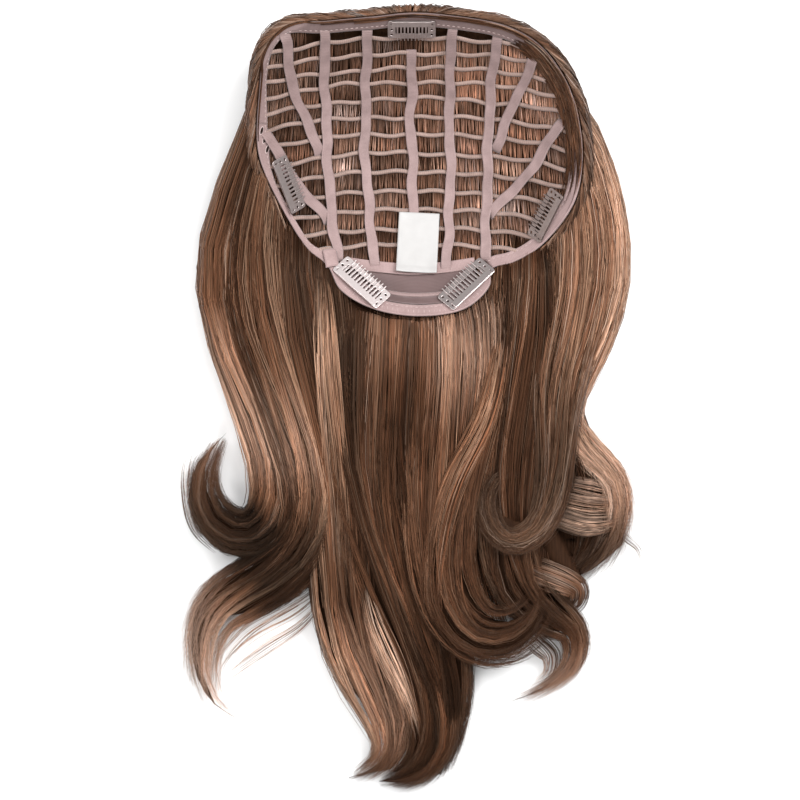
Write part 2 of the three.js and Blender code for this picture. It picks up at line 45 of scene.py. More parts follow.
CAP_MIDDLE = np.array([4, 157]) * MM
CAP_SIDE = 102 * MM
CAP_FRONT = 85 * MM
CAP_NAPE = 125 * MM
CAP_DEPTH = 52 * MM
CROWN_HAIR = 10 * MM
CAP_TILT = 0.06
PLAN_SQUARENESS = 2.8
WALL_STEEPNESS = 2.2
MOST_REACH = 1.02
TAPE_WIDTH = 7 * MM
TAPE_THICK = 1.4 * MM
SEAM_GAP = 0.5 * MM
CLOTH_STEP = 1.9 * MM
RIM_STEPS = 40

# The rim's plan in millimetres, x and y, clockwise from the middle of the front edge.
RIM = np.array([
    (0, 240), (20, 239), (60, 232), (82, 219), (98, 196), (105, 173), (107, 147), (102, 122), (82, 96),
    (65, 86), (52, 82), (50, 71), (35, 57), (6, 52), (-24, 57), (-44, 69), (-52, 84), (-64, 94),
    (-76, 112), (-91, 142), (-95, 157), (-94, 188), (-89, 217), (-76, 231), (-50, 235), (-21, 238),
]) * MM

# How wide the tape shows in millimetres, by place along the rim's points: narrow at the left, where it
# turns up on edge, and wide at its eyelets.
SHOWN_AT = (0, 15.8, 16.5, 17.2, 18.7, 19.3, 20.0, 20.7, 21.3, 22.8, 23.6, 26)
SHOWN_WIDE = (7, 7, 5.5, 3.4, 3.4, 5.0, 6.8, 5.4, 3.4, 3.6, 6.4, 7)

# Each edge tape runs along the rim from one of its points to another.
EDGE_TAPES = {
    "front_band": (20.5, 31.5),
    "right_band": (5.5, 10),
    "nape_binding": (10, 16),
    "left_band": (16, 20.5),
}


def cap_height(x, y):
    """Height of the bowl's surface over plan positions."""
    along = y - CAP_MIDDLE[1]
    sideways = np.abs(x - CAP_MIDDLE[0]) / CAP_SIDE
    lengthwise = np.abs(along) / np.where(along > 0, CAP_FRONT, CAP_NAPE)
    total = sideways**PLAN_SQUARENESS + lengthwise**PLAN_SQUARENESS
    reach = np.minimum(total ** (1 / PLAN_SQUARENESS), MOST_REACH)
    return CROWN_HAIR + CAP_DEPTH * reach**WALL_STEEPNESS + CAP_TILT * along


def unit(ways):
    """The same directions, each of length one."""
    return ways / np.linalg.norm(ways, axis=-1, keepdims=True)


def on_cap(plan, level):
    """Points over plan positions, raised from the bowl's surface along its normal."""
    x, y = plan[..., 0], plan[..., 1]
    d = 0.5 * MM
    slope_x = (cap_height(x + d, y) - cap_height(x - d, y)) / (2 * d)
    slope_y = (cap_height(x, y + d) - cap_height(x, y - d)) / (2 * d)
    normal = unit(np.stack([-slope_x, -slope_y, np.ones_like(x)], -1))
    return np.stack([x, y, cap_height(x, y)], -1) + normal * np.asarray(level)[..., None]


def through(points, t, closed=False):
    """Points at shares t of a smooth curve through rows of coordinates."""
    points = np.asarray(points, float)
    count = len(points)
    at = np.asarray(t, float) * (count if closed else count - 1)
    first = np.floor(at).astype(int)
    if closed:
        near = [points[(first + k) % count] for k in (-1, 0, 1, 2)]
    else:
        first = np.clip(first, 0, count - 2)
        longer = np.vstack([2 * points[0] - points[1], points, 2 * points[-1] - points[-2]])
        near = [longer[first + k] for k in (0, 1, 2, 3)]
    p0, p1, p2, p3 = near
    d0, d1, d2 = (np.sqrt(np.linalg.norm(b - a, axis=1, keepdims=True)) for a, b in zip(near, near[1:]))
    leave = ((p1 - p0) / d0 - (p2 - p0) / (d0 + d1) + (p2 - p1) / d1) * d1
    arrive = ((p2 - p1) / d1 - (p3 - p1) / (d1 + d2) + (p3 - p2) / d2) * d1
    w = (at - first)[:, None]
    bend = -3 * p1 + 3 * p2 - 2 * leave - arrive
    twist = 2 * p1 - 2 * p2 + leave + arrive
    return p1 + leave * w + bend * w**2 + twist * w**3


def sidestep(route, distance):
    """Plan points moved to the left of the way they run, by one distance or one for each."""
    ahead = unit(np.gradient(route, axis=0))
    return route + np.stack([-ahead[:, 1], ahead[:, 0]], 1) * np.reshape(distance, (-1, 1))


rim_place = np.linspace(0, 1, 400)
rim_line = through(RIM, rim_place, closed=True) - CAP_MIDDLE
rim_turn = np.arctan2(rim_line[:, 1], rim_line[:, 0])


def by_direction(plan, values):
    """Values along the rim, read in the direction of plan positions from the middle of the cap."""
    away = plan - CAP_MIDDLE
    return np.interp(np.arctan2(away[..., 1], away[..., 0]), rim_turn, values, period=2 * math.pi)


def rim_margin(plan):
    """How far plan positions lie inside the rim, measured from the middle of the cap."""
    away = plan - CAP_MIDDLE
    return by_direction(plan, np.hypot(*rim_line.T)) - np.hypot(away[..., 0], away[..., 1])


def tape_wide(plan):
    """Width of the edge tape beside plan positions."""
    return by_direction(plan, np.interp(rim_place * len(RIM), SHOWN_AT, SHOWN_WIDE) * MM)


def distances(points):
    """How far along a run of points each of them lies."""
    return np.concatenate([[0], np.cumsum(np.linalg.norm(np.diff(points, axis=0), axis=1))])


def even(points, step):
    """The same run of points, spaced evenly."""
    gone = distances(points)
    at = np.linspace(0, gone[-1], max(2, math.ceil(gone[-1] / step) + 1))
    return np.stack([np.interp(at, gone, column) for column in points.T], 1)


def join_object(name, mesh, finish, body="cap"):
    """Makes a mesh into a piece of the object, in place and riding on a body."""
    mesh.materials.append(finish)
    piece = bpy.data.objects.new(name, mesh)
    bpy.context.collection.objects.link(piece)
    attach(piece, body)
    return piece


def new_piece(name, bm, finish, body="cap"):
    """Makes the shape into a smooth piece of the object."""
    mesh = bpy.data.meshes.new(name)
    bm.to_mesh(mesh)
    bm.free()
    for face in mesh.polygons:
        face.use_smooth = True
    return join_object(name, mesh, finish, body)


def cloth_between(name, edge_a, edge_b, thick, level, finish, across, shape):
    """Cloth laid on the bowl between two edges, raised by its shape at a share across and distance along."""
    count = len(edge_a)
    bm = bmesh.new()
    weave = bm.loops.layers.uv.new("Weave")
    bmesh.ops.create_grid(bm, x_segments=count - 1, y_segments=across, size=1)
    bm.verts.ensure_lookup_table()
    flat = np.array([v.co[:2] for v in bm.verts])
    row = np.rint((flat[:, 0] + 1) / 2 * (count - 1)).astype(int)
    share = (flat[:, 1] + 1) / 2
    gone = distances((edge_a + edge_b) / 2)
    wide = np.linalg.norm(edge_b - edge_a, axis=1)
    plan = edge_a[row] + (edge_b - edge_a)[row] * share[:, None]
    placed = on_cap(plan, level - thick / 2 + shape(share, gone[row]))
    for face in bm.faces:
        for loop in face.loops:
            i = loop.vert.index
            loop[weave].uv = (gone[row[i]], (share[i] - 0.5) * wide[row[i]])
    for v, place in zip(bm.verts, placed):
        v.co = place
    bmesh.ops.recalc_face_normals(bm, faces=bm.faces[:])
    if sum(face.normal.z for face in bm.faces) < 0:
        bmesh.ops.reverse_faces(bm, faces=bm.faces[:])
    bmesh.ops.solidify(bm, geom=bm.faces[:], thickness=-thick)
    bmesh.ops.recalc_face_normals(bm, faces=bm.faces[:])
    return new_piece(name, bm, finish)


# Ways along a cloth's own map.
ALONG, ACROSS = 0, 1


class Shade:
    """A shader socket that arithmetic works on. Each operation adds a Math node."""

    def __init__(self, tree, socket=None):
        self.tree = tree
        self.socket = socket

    def feed(self, made, sockets):
        for name, value in sockets.items():
            if isinstance(value, Shade):
                self.tree.links.new(value.socket, made.inputs[name])
            else:
                made.inputs[name].default_value = value

    def node(self, kind, settings, sockets, out=0):
        made = self.tree.nodes.new(kind)
        for name, value in settings.items():
            setattr(made, name, value)
        self.feed(made, sockets)
        return Shade(self.tree, made.outputs[out])

    def math(self, operation, *values):
        return self.node("ShaderNodeMath", {"operation": operation}, dict(enumerate(values)))

    def mix(self, low, high):
        """A colour between two, by this socket's value."""
        return self.node("ShaderNodeMix", {"data_type": "RGBA"}, {0: self, 6: low, 7: high}, 2)

    def place(self):
        """Where on the object the surface lies."""
        return self.node("ShaderNodeTexCoord", {}, {}, 3)

    def mottle(self, scale, detail=2.0):
        """Uneven noise over the object, with so many patches to a metre."""
        return self.node(
            "ShaderNodeTexNoise", {}, {"Vector": self.place(), "Scale": scale, "Detail": detail})

    def weave(self, way, pitch):
        """The rise and fall of a cloth's threads one way of its map, from -1 to 1."""
        mapped = self.node("ShaderNodeUVMap", {"uv_map": "Weave"}, {})
        gone = self.node("ShaderNodeSeparateXYZ", {}, {0: mapped}, way)
        return self.math("SINE", gone * (2 * math.pi / pitch))

    def relief(self, height, strength, deep):
        """The surface's normal, bent as though it had this height."""
        return self.node("ShaderNodeBump", {}, {"Strength": strength, "Distance": deep, "Height": height})

    def limited(self):
        return self.node("ShaderNodeClamp", {}, {0: self})

    def __add__(self, other):
        return self.math("ADD", self, other)

    def __sub__(self, other):
        return self.math("SUBTRACT", self, other)

    def __rsub__(self, other):
        return self.math("SUBTRACT", other, self)

    def __mul__(self, other):
        return self.math("MULTIPLY", self, other)

    __radd__ = __add__
    __rmul__ = __mul__


def new_finish(name):
    """A material, and a starting point for the maths that feeds it."""
    material = bpy.data.materials.new(name)
    material.use_nodes = True
    return material, Shade(material.node_tree)


def shine(material, sockets):
    """Feeds the sockets of a material's own shader."""
    shader = material.node_tree.nodes["Principled BSDF"]
    Shade(material.node_tree).feed(shader, sockets)


# The tapes are painted darker from this far forward, as painted shade at the front of the cap,
# by so much more for each metre.
FRONT_SHADE_FROM = 130 * MM
FRONT_SHADE_RATE = 11.0
FRONT_SHADE_BROWN = (0.07, 0.042, 0.038, 1)


def woven(name, light, dark, rib, rough, front_shade=0.0):
    """Ribbed tape: ribs across it, finer threads along it, unevenly dyed, and painted shade at the front."""
    material, shade = new_finish(name)
    cloth_tone = shade.mottle(90.0, 3.0)
    fuzz = shade.mottle(1800.0)
    ribs = shade.weave(ALONG, rib) * 0.5 + 0.5
    threads = shade.weave(ACROSS, rib * 0.7) * 0.5 + 0.5
    colour = ((cloth_tone - 0.5) * 0.9 + 0.3 + ribs * 0.25 + (fuzz - 0.5) * 0.6).limited().mix(light, dark)
    forward = shade.node("ShaderNodeSeparateXYZ", {}, {0: shade.place()}, 1)
    # Painted shade: the colour turns dark brown towards the front, by the share given.
    colour = (((forward - FRONT_SHADE_FROM) * FRONT_SHADE_RATE).limited() * front_shade).mix(colour, FRONT_SHADE_BROWN)
    shine(material, {
        "Base Color": colour, "Roughness": rough + fuzz * 0.15,
        "Normal": shade.relief(ribs * 0.7 + threads * 0.3 + fuzz * 0.4, 0.5, 0.25 * MM),
        "Sheen Weight": 0.3, "Sheen Roughness": 0.4,
    })
    return material


# The edge tape's last number is how strongly painted shade darkens it at the front.
TAPE = woven("mauve edge tape", (0.40, 0.28, 0.27, 1), (0.22, 0.145, 0.14, 1), 0.9 * MM, 0.62, 0.62)


def edge_route(start, end):
    """Plan points along the rim, from one of its points to another."""
    t = np.linspace(start, end, math.ceil((end - start) * RIM_STEPS)) / len(RIM)
    return even(through(RIM, t % 1, closed=True), CLOTH_STEP)


# The tape's folded edge and its row of stitches, as shares of its width, and how far they rise and sink.
FOLD_SHARE = 0.12
FOLD_HIGH = 0.35 * MM
STITCH_AT = 0.78
STITCH_SHARE = 0.06
STITCH_DEEP = 0.3 * MM
PUCKER_LONG = 3.4 * MM
PUCKER_HIGH = 0.12 * MM


def folded(share, gone):
    """The tape's folded outer edge stands up, and a stitch line draws it in near the inner edge."""
    fold = FOLD_HIGH * np.exp(-((share / FOLD_SHARE) ** 2))
    drawn = STITCH_DEEP * np.exp(-(((share - STITCH_AT) / STITCH_SHARE) ** 2))
    return fold - drawn + PUCKER_HIGH * np.sin(gone / PUCKER_LONG) * share


def folded_tape(node, edge_a, edge_b):
    """A folded tape in the place of its node."""
    tape = cloth_between(node + "_tape", edge_a, edge_b, TAPE_THICK * 0.8, 0.0, TAPE, 10, folded)
    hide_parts(node)


for name, (start, end) in EDGE_TAPES.items():
    route = edge_route(start, end)
    folded_tape(name, route, sidestep(route, -tape_wide(route)))


# The stitches: one row of machine stitching in matching thread along each edge tape, and short
# overlock ticks across the nape binding.
THREAD_PITCH = 3.2 * MM
THREAD_LONG = 2.2 * MM
THREAD_THICK = 0.45 * MM
TICK_PITCH = 3.4 * MM
TICK_LONG = 3.6 * MM
TICKS_ALONG = (11.2, 15)


def stitch_row(bm, route, level, pitch=THREAD_PITCH, long=THREAD_LONG, crossing=False):
    """Short lengths of thread laid end to end along a plan route, or square across it."""
    spots = even(route, pitch)
    for a, b in zip(spots, spots[1:]):
        low, high, above = on_cap(np.array([a, b, a]), np.array([level, level, level + MM]))
        middle, ahead = Vector((low + high) / 2), Vector(high - low).normalized()
        if crossing:
            ahead = Vector(above - low).cross(ahead).normalized()
        size = Matrix.Diagonal((long / 2, THREAD_THICK / 2, THREAD_THICK / 2, 1))
        place = Matrix.Translation(middle) @ ahead.to_track_quat("X", "Z").to_matrix().to_4x4() @ size
        bmesh.ops.create_uvsphere(bm, u_segments=6, v_segments=4, radius=1, matrix=place)


def thread_finish(name, colour, dark):
    """Twisted thread, uneven in its dye."""
    material, shade = new_finish(name)
    strand = shade.mottle(2600.0)
    shine(material, {"Base Color": strand.mix(colour, dark), "Roughness": 0.5 + strand * 0.2})
    return material


THREAD = thread_finish("mauve thread", (0.56, 0.45, 0.43, 1), (0.36, 0.26, 0.25, 1))

bm = bmesh.new()
for start, end in EDGE_TAPES.values():
    route = edge_route(start, end)
    stitch_row(bm, sidestep(route, -tape_wide(route) * STITCH_AT), TAPE_THICK * 0.28)
ticked = sidestep(edge_route(*TICKS_ALONG), -TAPE_WIDTH * 0.42)
stitch_row(bm, ticked, TAPE_THICK * 0.3, TICK_PITCH, TICK_LONG, crossing=True)
new_piece("edge_stitches", bm, THREAD)


# The eyelets: three bound slots in the left tape, where a strap could be buttoned in.
# Each is a thread-bound oval edge around a dark disc, painted as the shade inside the opening.
EYELETS = np.array([(-93.0, 167.3), (-91.3, 161.8), (-89.6, 155.9)]) * MM
EYELET_HALF = (1.15 * MM, 2.5 * MM)
EYELET_LEAN = np.array([0.3, 1.0])
BINDING_RISE = 0.4 * MM
GAP_RISE = 0.3 * MM


def lying(plan, way, level):
    """Placement on the cap: x across, y along a plan direction, z away from the cap."""
    base, ahead, above = on_cap(np.array([plan, plan + way * MM, plan]), np.array([level, level, level + MM]))
    up = Vector(above - base).normalized()
    along = Vector(ahead - base).normalized()
    across = along.cross(up).normalized()
    return Matrix.Translation(Vector(base)) @ Matrix((across, up.cross(across), up)).transposed().to_4x4()


# Painted shade: a near-black disc stands in each opening.
eyelet_shade, shade = new_finish("dark eyelet opening")
fibre = shade.mottle(1500.0)
shine(eyelet_shade, {
    "Base Color": fibre.mix((0.006, 0.0035, 0.003, 1), (0.03, 0.017, 0.013, 1)),
    "Roughness": 0.7 + fibre * 0.2, "Specular IOR Level": 0.1,
})
rings, gaps = bmesh.new(), bmesh.new()
for spot in EYELETS:
    place = lying(spot, unit(EYELET_LEAN), TAPE_THICK * 0.45)
    oval = place @ Matrix.Diagonal((*EYELET_HALF, BINDING_RISE, 1))
    upright = Matrix.Translation((1, 0, 0)) @ Matrix.Rotation(math.pi / 2, 4, "X")
    section = bmesh.ops.create_circle(rings, segments=6, radius=0.3, matrix=upright)
    bmesh.ops.spin(
        rings, geom=section["verts"] + list({e for v in section["verts"] for e in v.link_edges}),
        axis=(0, 0, 1), cent=(0, 0, 0), angle=2 * math.pi, steps=16, use_merge=True)
    fresh = [v for v in rings.verts if v.co.length > 0.5]
    bmesh.ops.transform(rings, matrix=oval, verts=fresh)
    bmesh.ops.create_cone(
        gaps, cap_ends=True, segments=16, radius1=0.95, radius2=0.9, depth=1,
        matrix=place @ Matrix.Diagonal((*EYELET_HALF, GAP_RISE, 1)))
bmesh.ops.recalc_face_normals(rings, faces=rings.faces[:])
new_piece("eyelet_binding", rings, THREAD)
new_piece("eyelet_gaps", gaps, eyelet_shade)


# The weft tracks: rows of hair sewn into narrow bound strips that cross the cap from side to side.
# They droop towards the sides and ripple a little between the ribbons that hold them.
WEFT_FIRST = 226 * MM
WEFT_PITCH = 11.1 * MM
WEFT_COUNT = 13
WEFT_DROOP = 15 * MM
WEFT_RIPPLE = 0.72 * MM
RIPPLE_LONG = 28 * MM
TRACK_WIDTH = 1.9 * MM
TRACK_THICK = 0.6 * MM
TRACK_LEVEL = -0.1 * MM
TRACK_STEP = 1.3 * MM
TRACK_ROUND = 0.55 * MM
PINCH = 0.22
PINCH_LONG = 2.6 * MM
TUCKED_WEFT = 1.0 * MM
WEFT_SAG = 0.7 * MM
SAG_PLACES = np.linspace(-100, 110, 8) * MM
rng = np.random.default_rng(7)
weft_sag = rng.normal(0, WEFT_SAG, (WEFT_COUNT + 1, len(SAG_PLACES)))


def weft_route(row, x):
    """Plan points of a weft row over positions from side to side."""
    share = np.abs(x - CAP_MIDDLE[0]) / CAP_SIDE
    ripple = WEFT_RIPPLE * np.cos(2 * math.pi * (x - CAP_MIDDLE[0]) / RIPPLE_LONG + row)
    uneven = np.interp(x, SAG_PLACES, weft_sag[row])
    return np.stack([x, weft_y[row - 1] - WEFT_DROOP * share**2.4 + ripple + uneven], -1)


weft_y = [WEFT_FIRST]
while len(weft_y) < WEFT_COUNT:
    y, walked = weft_y[-1], 0.0
    while walked < WEFT_PITCH:
        rise = cap_height(CAP_MIDDLE[0], y - MM) - cap_height(CAP_MIDDLE[0], y)
        y -= MM
        walked += math.hypot(MM, rise)
    weft_y.append(y)


def bound(share, gone):
    """The binding thread rounds the track and pinches it at each turn."""
    round_top = TRACK_ROUND * (1 - (2 * share - 1) ** 2)
    return round_top * (1 + PINCH * np.sin(gone * 2 * math.pi / PINCH_LONG))


WEFT = woven("weft binding", (0.37, 0.26, 0.225, 1), (0.13, 0.08, 0.064, 1), 1.3 * MM, 0.55)
for row in range(1, WEFT_COUNT + 1):
    node = f"weft_{row:02d}"
    x = np.linspace(-110, 120, 461) * MM
    x = x[rim_margin(weft_route(row, x)) - tape_wide(weft_route(row, x)) > -TUCKED_WEFT]
    route = even(weft_route(row, x), TRACK_STEP)
    half = TRACK_WIDTH / 2
    track = cloth_between(
        node + "_track", sidestep(route, half), sidestep(route, -half),
        TRACK_THICK, TRACK_LEVEL, WEFT, 4, bound)
    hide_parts(node)


# The ribbons: narrow ribbed tape sewn over the wefts from the front edge to the nape,
# with short ones out to the sides. They lie slack and dip where they are caught on each weft.
RIBBON_WIDTH = 6.3 * MM
RIBBON_THICK = 1.0 * MM
RIBBON_LEVEL = 1.7 * MM
TUCKED_RIBBON = 5 * MM
TUCKED_SHORT = 7 * MM
UNDER_EDGE = 1.6 * MM
SELVEDGE_HIGH = 0.14 * MM
SLACK_HIGH = 0.35 * MM
END_SUNK = 2.2 * MM

# Height and length in millimetres of the waves in a ribbon: two of its drift, then its left and right edges.
RIBBON_WAVES = ((0.55, 7.5), (0.35, 3.6), (0.22, 4.6), (0.22, 5.3))

# Plan points in millimetres, x and then y, from the front of the cap.
RIBBONS = {
    "ribbon_left_long": ((-54, -54, -52, -50, -46), (233, 188, 138, 115, 92)),
    "ribbon_left_middle": ((-27, -28, -29, -26, -23), (234, 195, 157, 119, 88)),
    "ribbon_centre": ((1, 1, 0, 2, 1, 3, 4), (219, 195, 176, 157, 141, 120, 86)),
    "ribbon_right_middle": ((27, 25, 26, 25, 23), (234, 195, 151, 113, 86)),
    "ribbon_right_long": ((55, 51, 50, 49, 48), (229, 188, 151, 119, 92)),
    "ribbon_left_upper": ((-78, -76, -68, -59.8), (226, 204, 179, 160)),
    "ribbon_left_lower": ((-91, -82, -69, -56.5), (168, 150, 132, 117)),
    "ribbon_right_upper": ((77, 69, 61, 56.4), (212, 192, 174, 163)),
    "ribbon_right_lower": ((93, 85, 70, 54.6), (169, 157, 135, 121)),
}


def slack(share, gone):
    """Sewn edges, a gentle rise between the wefts, and both ends tucked under what they are sewn to."""
    selvedge = SELVEDGE_HIGH * (np.abs(2 * share - 1) > 0.7)
    rise = SLACK_HIGH * np.sin(gone * 2 * math.pi / WEFT_PITCH) * np.sin(share * math.pi)
    from_end = np.minimum(gone, gone.max() - gone)
    return selvedge + rise - END_SUNK * np.clip(1 - from_end / TUCKED_RIBBON, 0, 1) ** 1.3


# The ribbon's last number is how strongly painted shade darkens it at the front.
RIBBON = woven("mauve ribbon", (0.37, 0.26, 0.25, 1), (0.17, 0.112, 0.107, 1), 0.8 * MM, 0.6, 0.3)
ribbon_rng = np.random.default_rng(3)
for name, (x, y) in RIBBONS.items():
    points = np.stack([x, y], 1) * MM
    route = through(points, np.linspace(0, 1, 240))
    onward, backward = unit(np.array([route[-1] - route[-2], route[0] - route[1]]))
    tucked = TUCKED_SHORT if name.endswith(("upper", "lower")) else TUCKED_RIBBON
    route = np.vstack([route, route[-1] + onward * tucked])
    if name != "ribbon_centre":
        route = np.vstack([route[0] + backward * TUCKED_RIBBON, route])
    route = even(route, CLOTH_STEP)
    route = route[rim_margin(route) - tape_wide(route) > -UNDER_EDGE]
    gone = np.arange(len(route)) * CLOTH_STEP
    turns = ribbon_rng.random(len(RIBBON_WAVES)) * 2 * math.pi
    waves = [high * MM * np.sin(gone / (long * MM) + turn) for (high, long), turn in zip(RIBBON_WAVES, turns)]
    drift = waves[0] + waves[1]
    left_edge = sidestep(route, drift + RIBBON_WIDTH / 2 + waves[2])
    right_edge = sidestep(route, drift - RIBBON_WIDTH / 2 - waves[3])
    ribbon = cloth_between(
        name + "_tape", left_edge, right_edge, RIBBON_THICK * 0.6, RIBBON_LEVEL, RIBBON, 8, slack)
    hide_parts(name)


# The nape: a satin flap under its own tape, with a sewn seam along it, that fills the curve of the
# nape binding. The tape above it is the same as the edge tape.
NAPE_LINE = np.array([(-40, 86), (-20, 83.5), (2, 82), (24, 83.5), (41, 86)]) * MM
NAPE_BOTTOM = (11.3, 14.9)
FLAP_THICK = 0.9 * MM
SEAM_AT = 0.705
SEAM_HIGH = 0.5 * MM
SEAM_PUCKER = 0.22 * MM
SATIN_LINE = 0.9 * MM

route = even(through(NAPE_LINE, np.linspace(0, 1, 120)), CLOTH_STEP)
folded_tape("nape_band", sidestep(route, TAPE_WIDTH / 2), sidestep(route, -TAPE_WIDTH / 2))

t = np.linspace(*NAPE_BOTTOM, 64) / len(RIM)
bottom = sidestep(through(RIM, t, closed=True), -TAPE_WIDTH - SEAM_GAP)
share = np.clip((bottom[:, 0] - NAPE_LINE[0, 0]) / (NAPE_LINE[-1, 0] - NAPE_LINE[0, 0]), 0, 1)
top = np.stack([bottom[:, 0], through(NAPE_LINE, share)[:, 1] - TAPE_WIDTH / 2 - SEAM_GAP], 1)


def seamed(share, gone):
    """A piped seam along the flap, with the satin puckered to both sides of it."""
    from_seam = np.abs(share - SEAM_AT)
    pucker = SEAM_PUCKER * np.sin(gone / (2.3 * MM)) * np.exp(-from_seam / 0.2)
    return SEAM_HIGH * np.exp(-((from_seam / 0.045) ** 2)) + pucker


satin, shade = new_finish("mauve satin")
fold = shade.mottle(60.0, 3.0)
float_thread = shade.mottle(2200.0)
lines = shade.weave(ACROSS, SATIN_LINE) * 0.5 + 0.5
# Painted shade and sheen: broad patches darken and lighten the satin where its folds would.
cloth_tone = (fold * 0.9 + lines * 0.25 + float_thread * 0.2 - 0.25).limited()
shine(satin, {
    "Base Color": cloth_tone.mix((0.075, 0.046, 0.044, 1), (0.18, 0.118, 0.114, 1)),
    "Roughness": 0.34 + float_thread * 0.2, "Sheen Weight": 0.4, "Sheen Roughness": 0.3,
    "Normal": shade.relief(lines * 0.6 + float_thread * 0.5, 0.35, 0.2 * MM),
})
flap = cloth_between("nape_flap", top, bottom, FLAP_THICK, 0.0, satin, 24, seamed)
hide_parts("nape_panel")

# A narrow folded strip covers the seam, at these shares of the way down the flap.
SEAM_STRIP = (0.64, 0.75)
STRIP_SHORT = 6
STRIP_THICK = 0.5 * MM
STRIP_LEVEL = 0.7 * MM
SEAM_TAPE = woven("folded seam strip", (0.31, 0.215, 0.207, 1), (0.17, 0.112, 0.108, 1), 0.9 * MM, 0.6)
strip_edges = [(top + (bottom - top) * share)[STRIP_SHORT:-STRIP_SHORT] for share in SEAM_STRIP]
strip = cloth_between("nape_seam_strip", *strip_edges, STRIP_THICK, STRIP_LEVEL, SEAM_TAPE, 6, bound)

# The end of the left tape is folded over the seams' meeting point in a small tab.
TAB_MIDDLE = np.array([-50.5, 88.5]) * MM
TAB_WAY = np.array([0.2, -0.98])
TAB_WIDE = 8 * MM
TAB_LONG = 11 * MM
TAB_THICK = 0.8 * MM
TAB_LEVEL = 1.9 * MM


def folded_tab(share, gone):
    """The tab arches along its length, and its sides are pressed down."""
    arch = 0.7 * MM * np.sin(np.clip(gone / TAB_LONG, 0, 1) * math.pi) ** 0.5
    return arch - 0.8 * MM * np.abs(2 * share - 1) ** 4


half_tab = TAB_WAY * TAB_LONG / 2
route = even(np.array([TAB_MIDDLE - half_tab, TAB_MIDDLE + half_tab]), 0.9 * MM)
tab = cloth_between(
    "left_tape_tab", sidestep(route, TAB_WIDE / 2), sidestep(route, -TAB_WIDE / 2),
    TAB_THICK, TAB_LEVEL, TAPE, 8, folded_tab)


# The label: a small bare label of white woven cloth with folded ends.
# It is sewn flat over the centre ribbon and the nape tape by its upper end.
LABEL_MIDDLE = np.array([5, 98]) * MM
LABEL_WIDE = 26 * MM
LABEL_LONG = 39 * MM
LABEL_TURN = math.radians(-3)
LABEL_LEVEL = 3.2 * MM
LABEL_THICK = 0.4 * MM
LABEL_HEM = 3 * MM
LABEL_THREAD = 0.5 * MM

label_way = np.array([-math.sin(LABEL_TURN), math.cos(LABEL_TURN)])
route = even(np.array([
    LABEL_MIDDLE + label_way * LABEL_LONG / 2,
    LABEL_MIDDLE - label_way * LABEL_LONG / 2,
]), 1.0 * MM)


def curled(share, gone):
    """The loose lower corners lift a little, and the folded ends are double."""
    end = np.clip(gone / LABEL_LONG, 0, 1)
    corner = (np.abs(2 * share - 1) ** 3) * end**4
    hem = 0.25 * MM * ((gone < LABEL_HEM) | (gone > LABEL_LONG - LABEL_HEM))
    return hem + 1.1 * MM * corner + 0.2 * MM * np.sin(gone / (6 * MM)) * (share - 0.5)


label_white, shade = new_finish("white woven label")
warp = shade.weave(ALONG, LABEL_THREAD) * shade.weave(ACROSS, LABEL_THREAD)
crease_and_shade = shade.mottle(110.0)
# Painted shade: the label's colour darkens with its crease noise, which also bumps its surface.
shine(label_white, {
    "Base Color": (crease_and_shade * 0.8 + warp * 0.1).limited().mix((0.48, 0.47, 0.462, 1), (0.38, 0.372, 0.365, 1)),
    "Roughness": 0.45 + crease_and_shade * 0.2, "Normal": shade.relief(warp * 0.5 + crease_and_shade, 0.25, 0.15 * MM),
})
label = cloth_between(
    "label_cloth", sidestep(route, LABEL_WIDE / 2), sidestep(route, -LABEL_WIDE / 2),
    LABEL_THICK, LABEL_LEVEL, label_white, 20, curled)
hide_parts("label")


# The snap clips: bent spring steel, each a stamped frame sewn on through its eyelets and a comb
# that flips up along one long edge. Their edges are rolled, so they catch the light.
ROLLED_EDGE = 0.22 * MM
ROLLED_FROM = math.radians(50)

# How much brown is painted into each clip: a painted reflection of the hair around it, and on the right
# clip painted shade as well.
CLIPS = {
    "front_clip": 0.45,
    "left_clip": 0.35,
    "right_clip": 0.8,
    "nape_left_clip": 0.12,
    "nape_right_clip": 0.3,
}


def spring_steel(name, brown):
    """Dull polished steel, rubbed and finely scratched, with brown painted in as reflection and shade."""
    material, shade = new_finish(name)
    rub = shade.mottle(240.0, 4.0)
    scratch = shade.mottle(1500.0)
    bare = rub.mix((0.88, 0.80, 0.79, 1), (0.58, 0.51, 0.50, 1))
    shine(material, {
        # Painted reflection and shade: the steel's colour turns brown by the clip's share.
        "Base Color": (rub * 0.2 + brown - 0.1).limited().mix(bare, (0.17, 0.118, 0.1, 1)), "Metallic": 1.0,
        "Roughness": 0.26 + rub * 0.2, "Normal": shade.relief(scratch, 0.05, 0.1 * MM),
    })
    return material


def rolled_steel(name, node, body, steel):
    """A stamped node's shape with its edges rolled round."""
    bm = bmesh.new()
    bm.from_mesh(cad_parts[node].data)
    bmesh.ops.remove_doubles(bm, verts=bm.verts[:], dist=0.001 * MM)
    sharp = [e for e in bm.edges if e.is_manifold and e.calc_face_angle() > ROLLED_FROM]
    bmesh.ops.bevel(
        bm, geom=sharp, offset=ROLLED_EDGE, offset_type="OFFSET", affect="EDGES", segments=2,
        profile=0.5, material=-1, clamp_overlap=True)
    piece = new_piece(name, bm, steel, body)
    for face in piece.data.polygons:
        face.use_smooth = False
    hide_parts(node)


for clip, brown in CLIPS.items():
    steel = spring_steel(f"{clip} steel", brown)
    rolled_steel(clip + "_frame_steel", clip + "_frame", "cap", steel)
    rolled_steel(clip + "_comb_steel", clip + "_comb", clip + "_lever", steel)


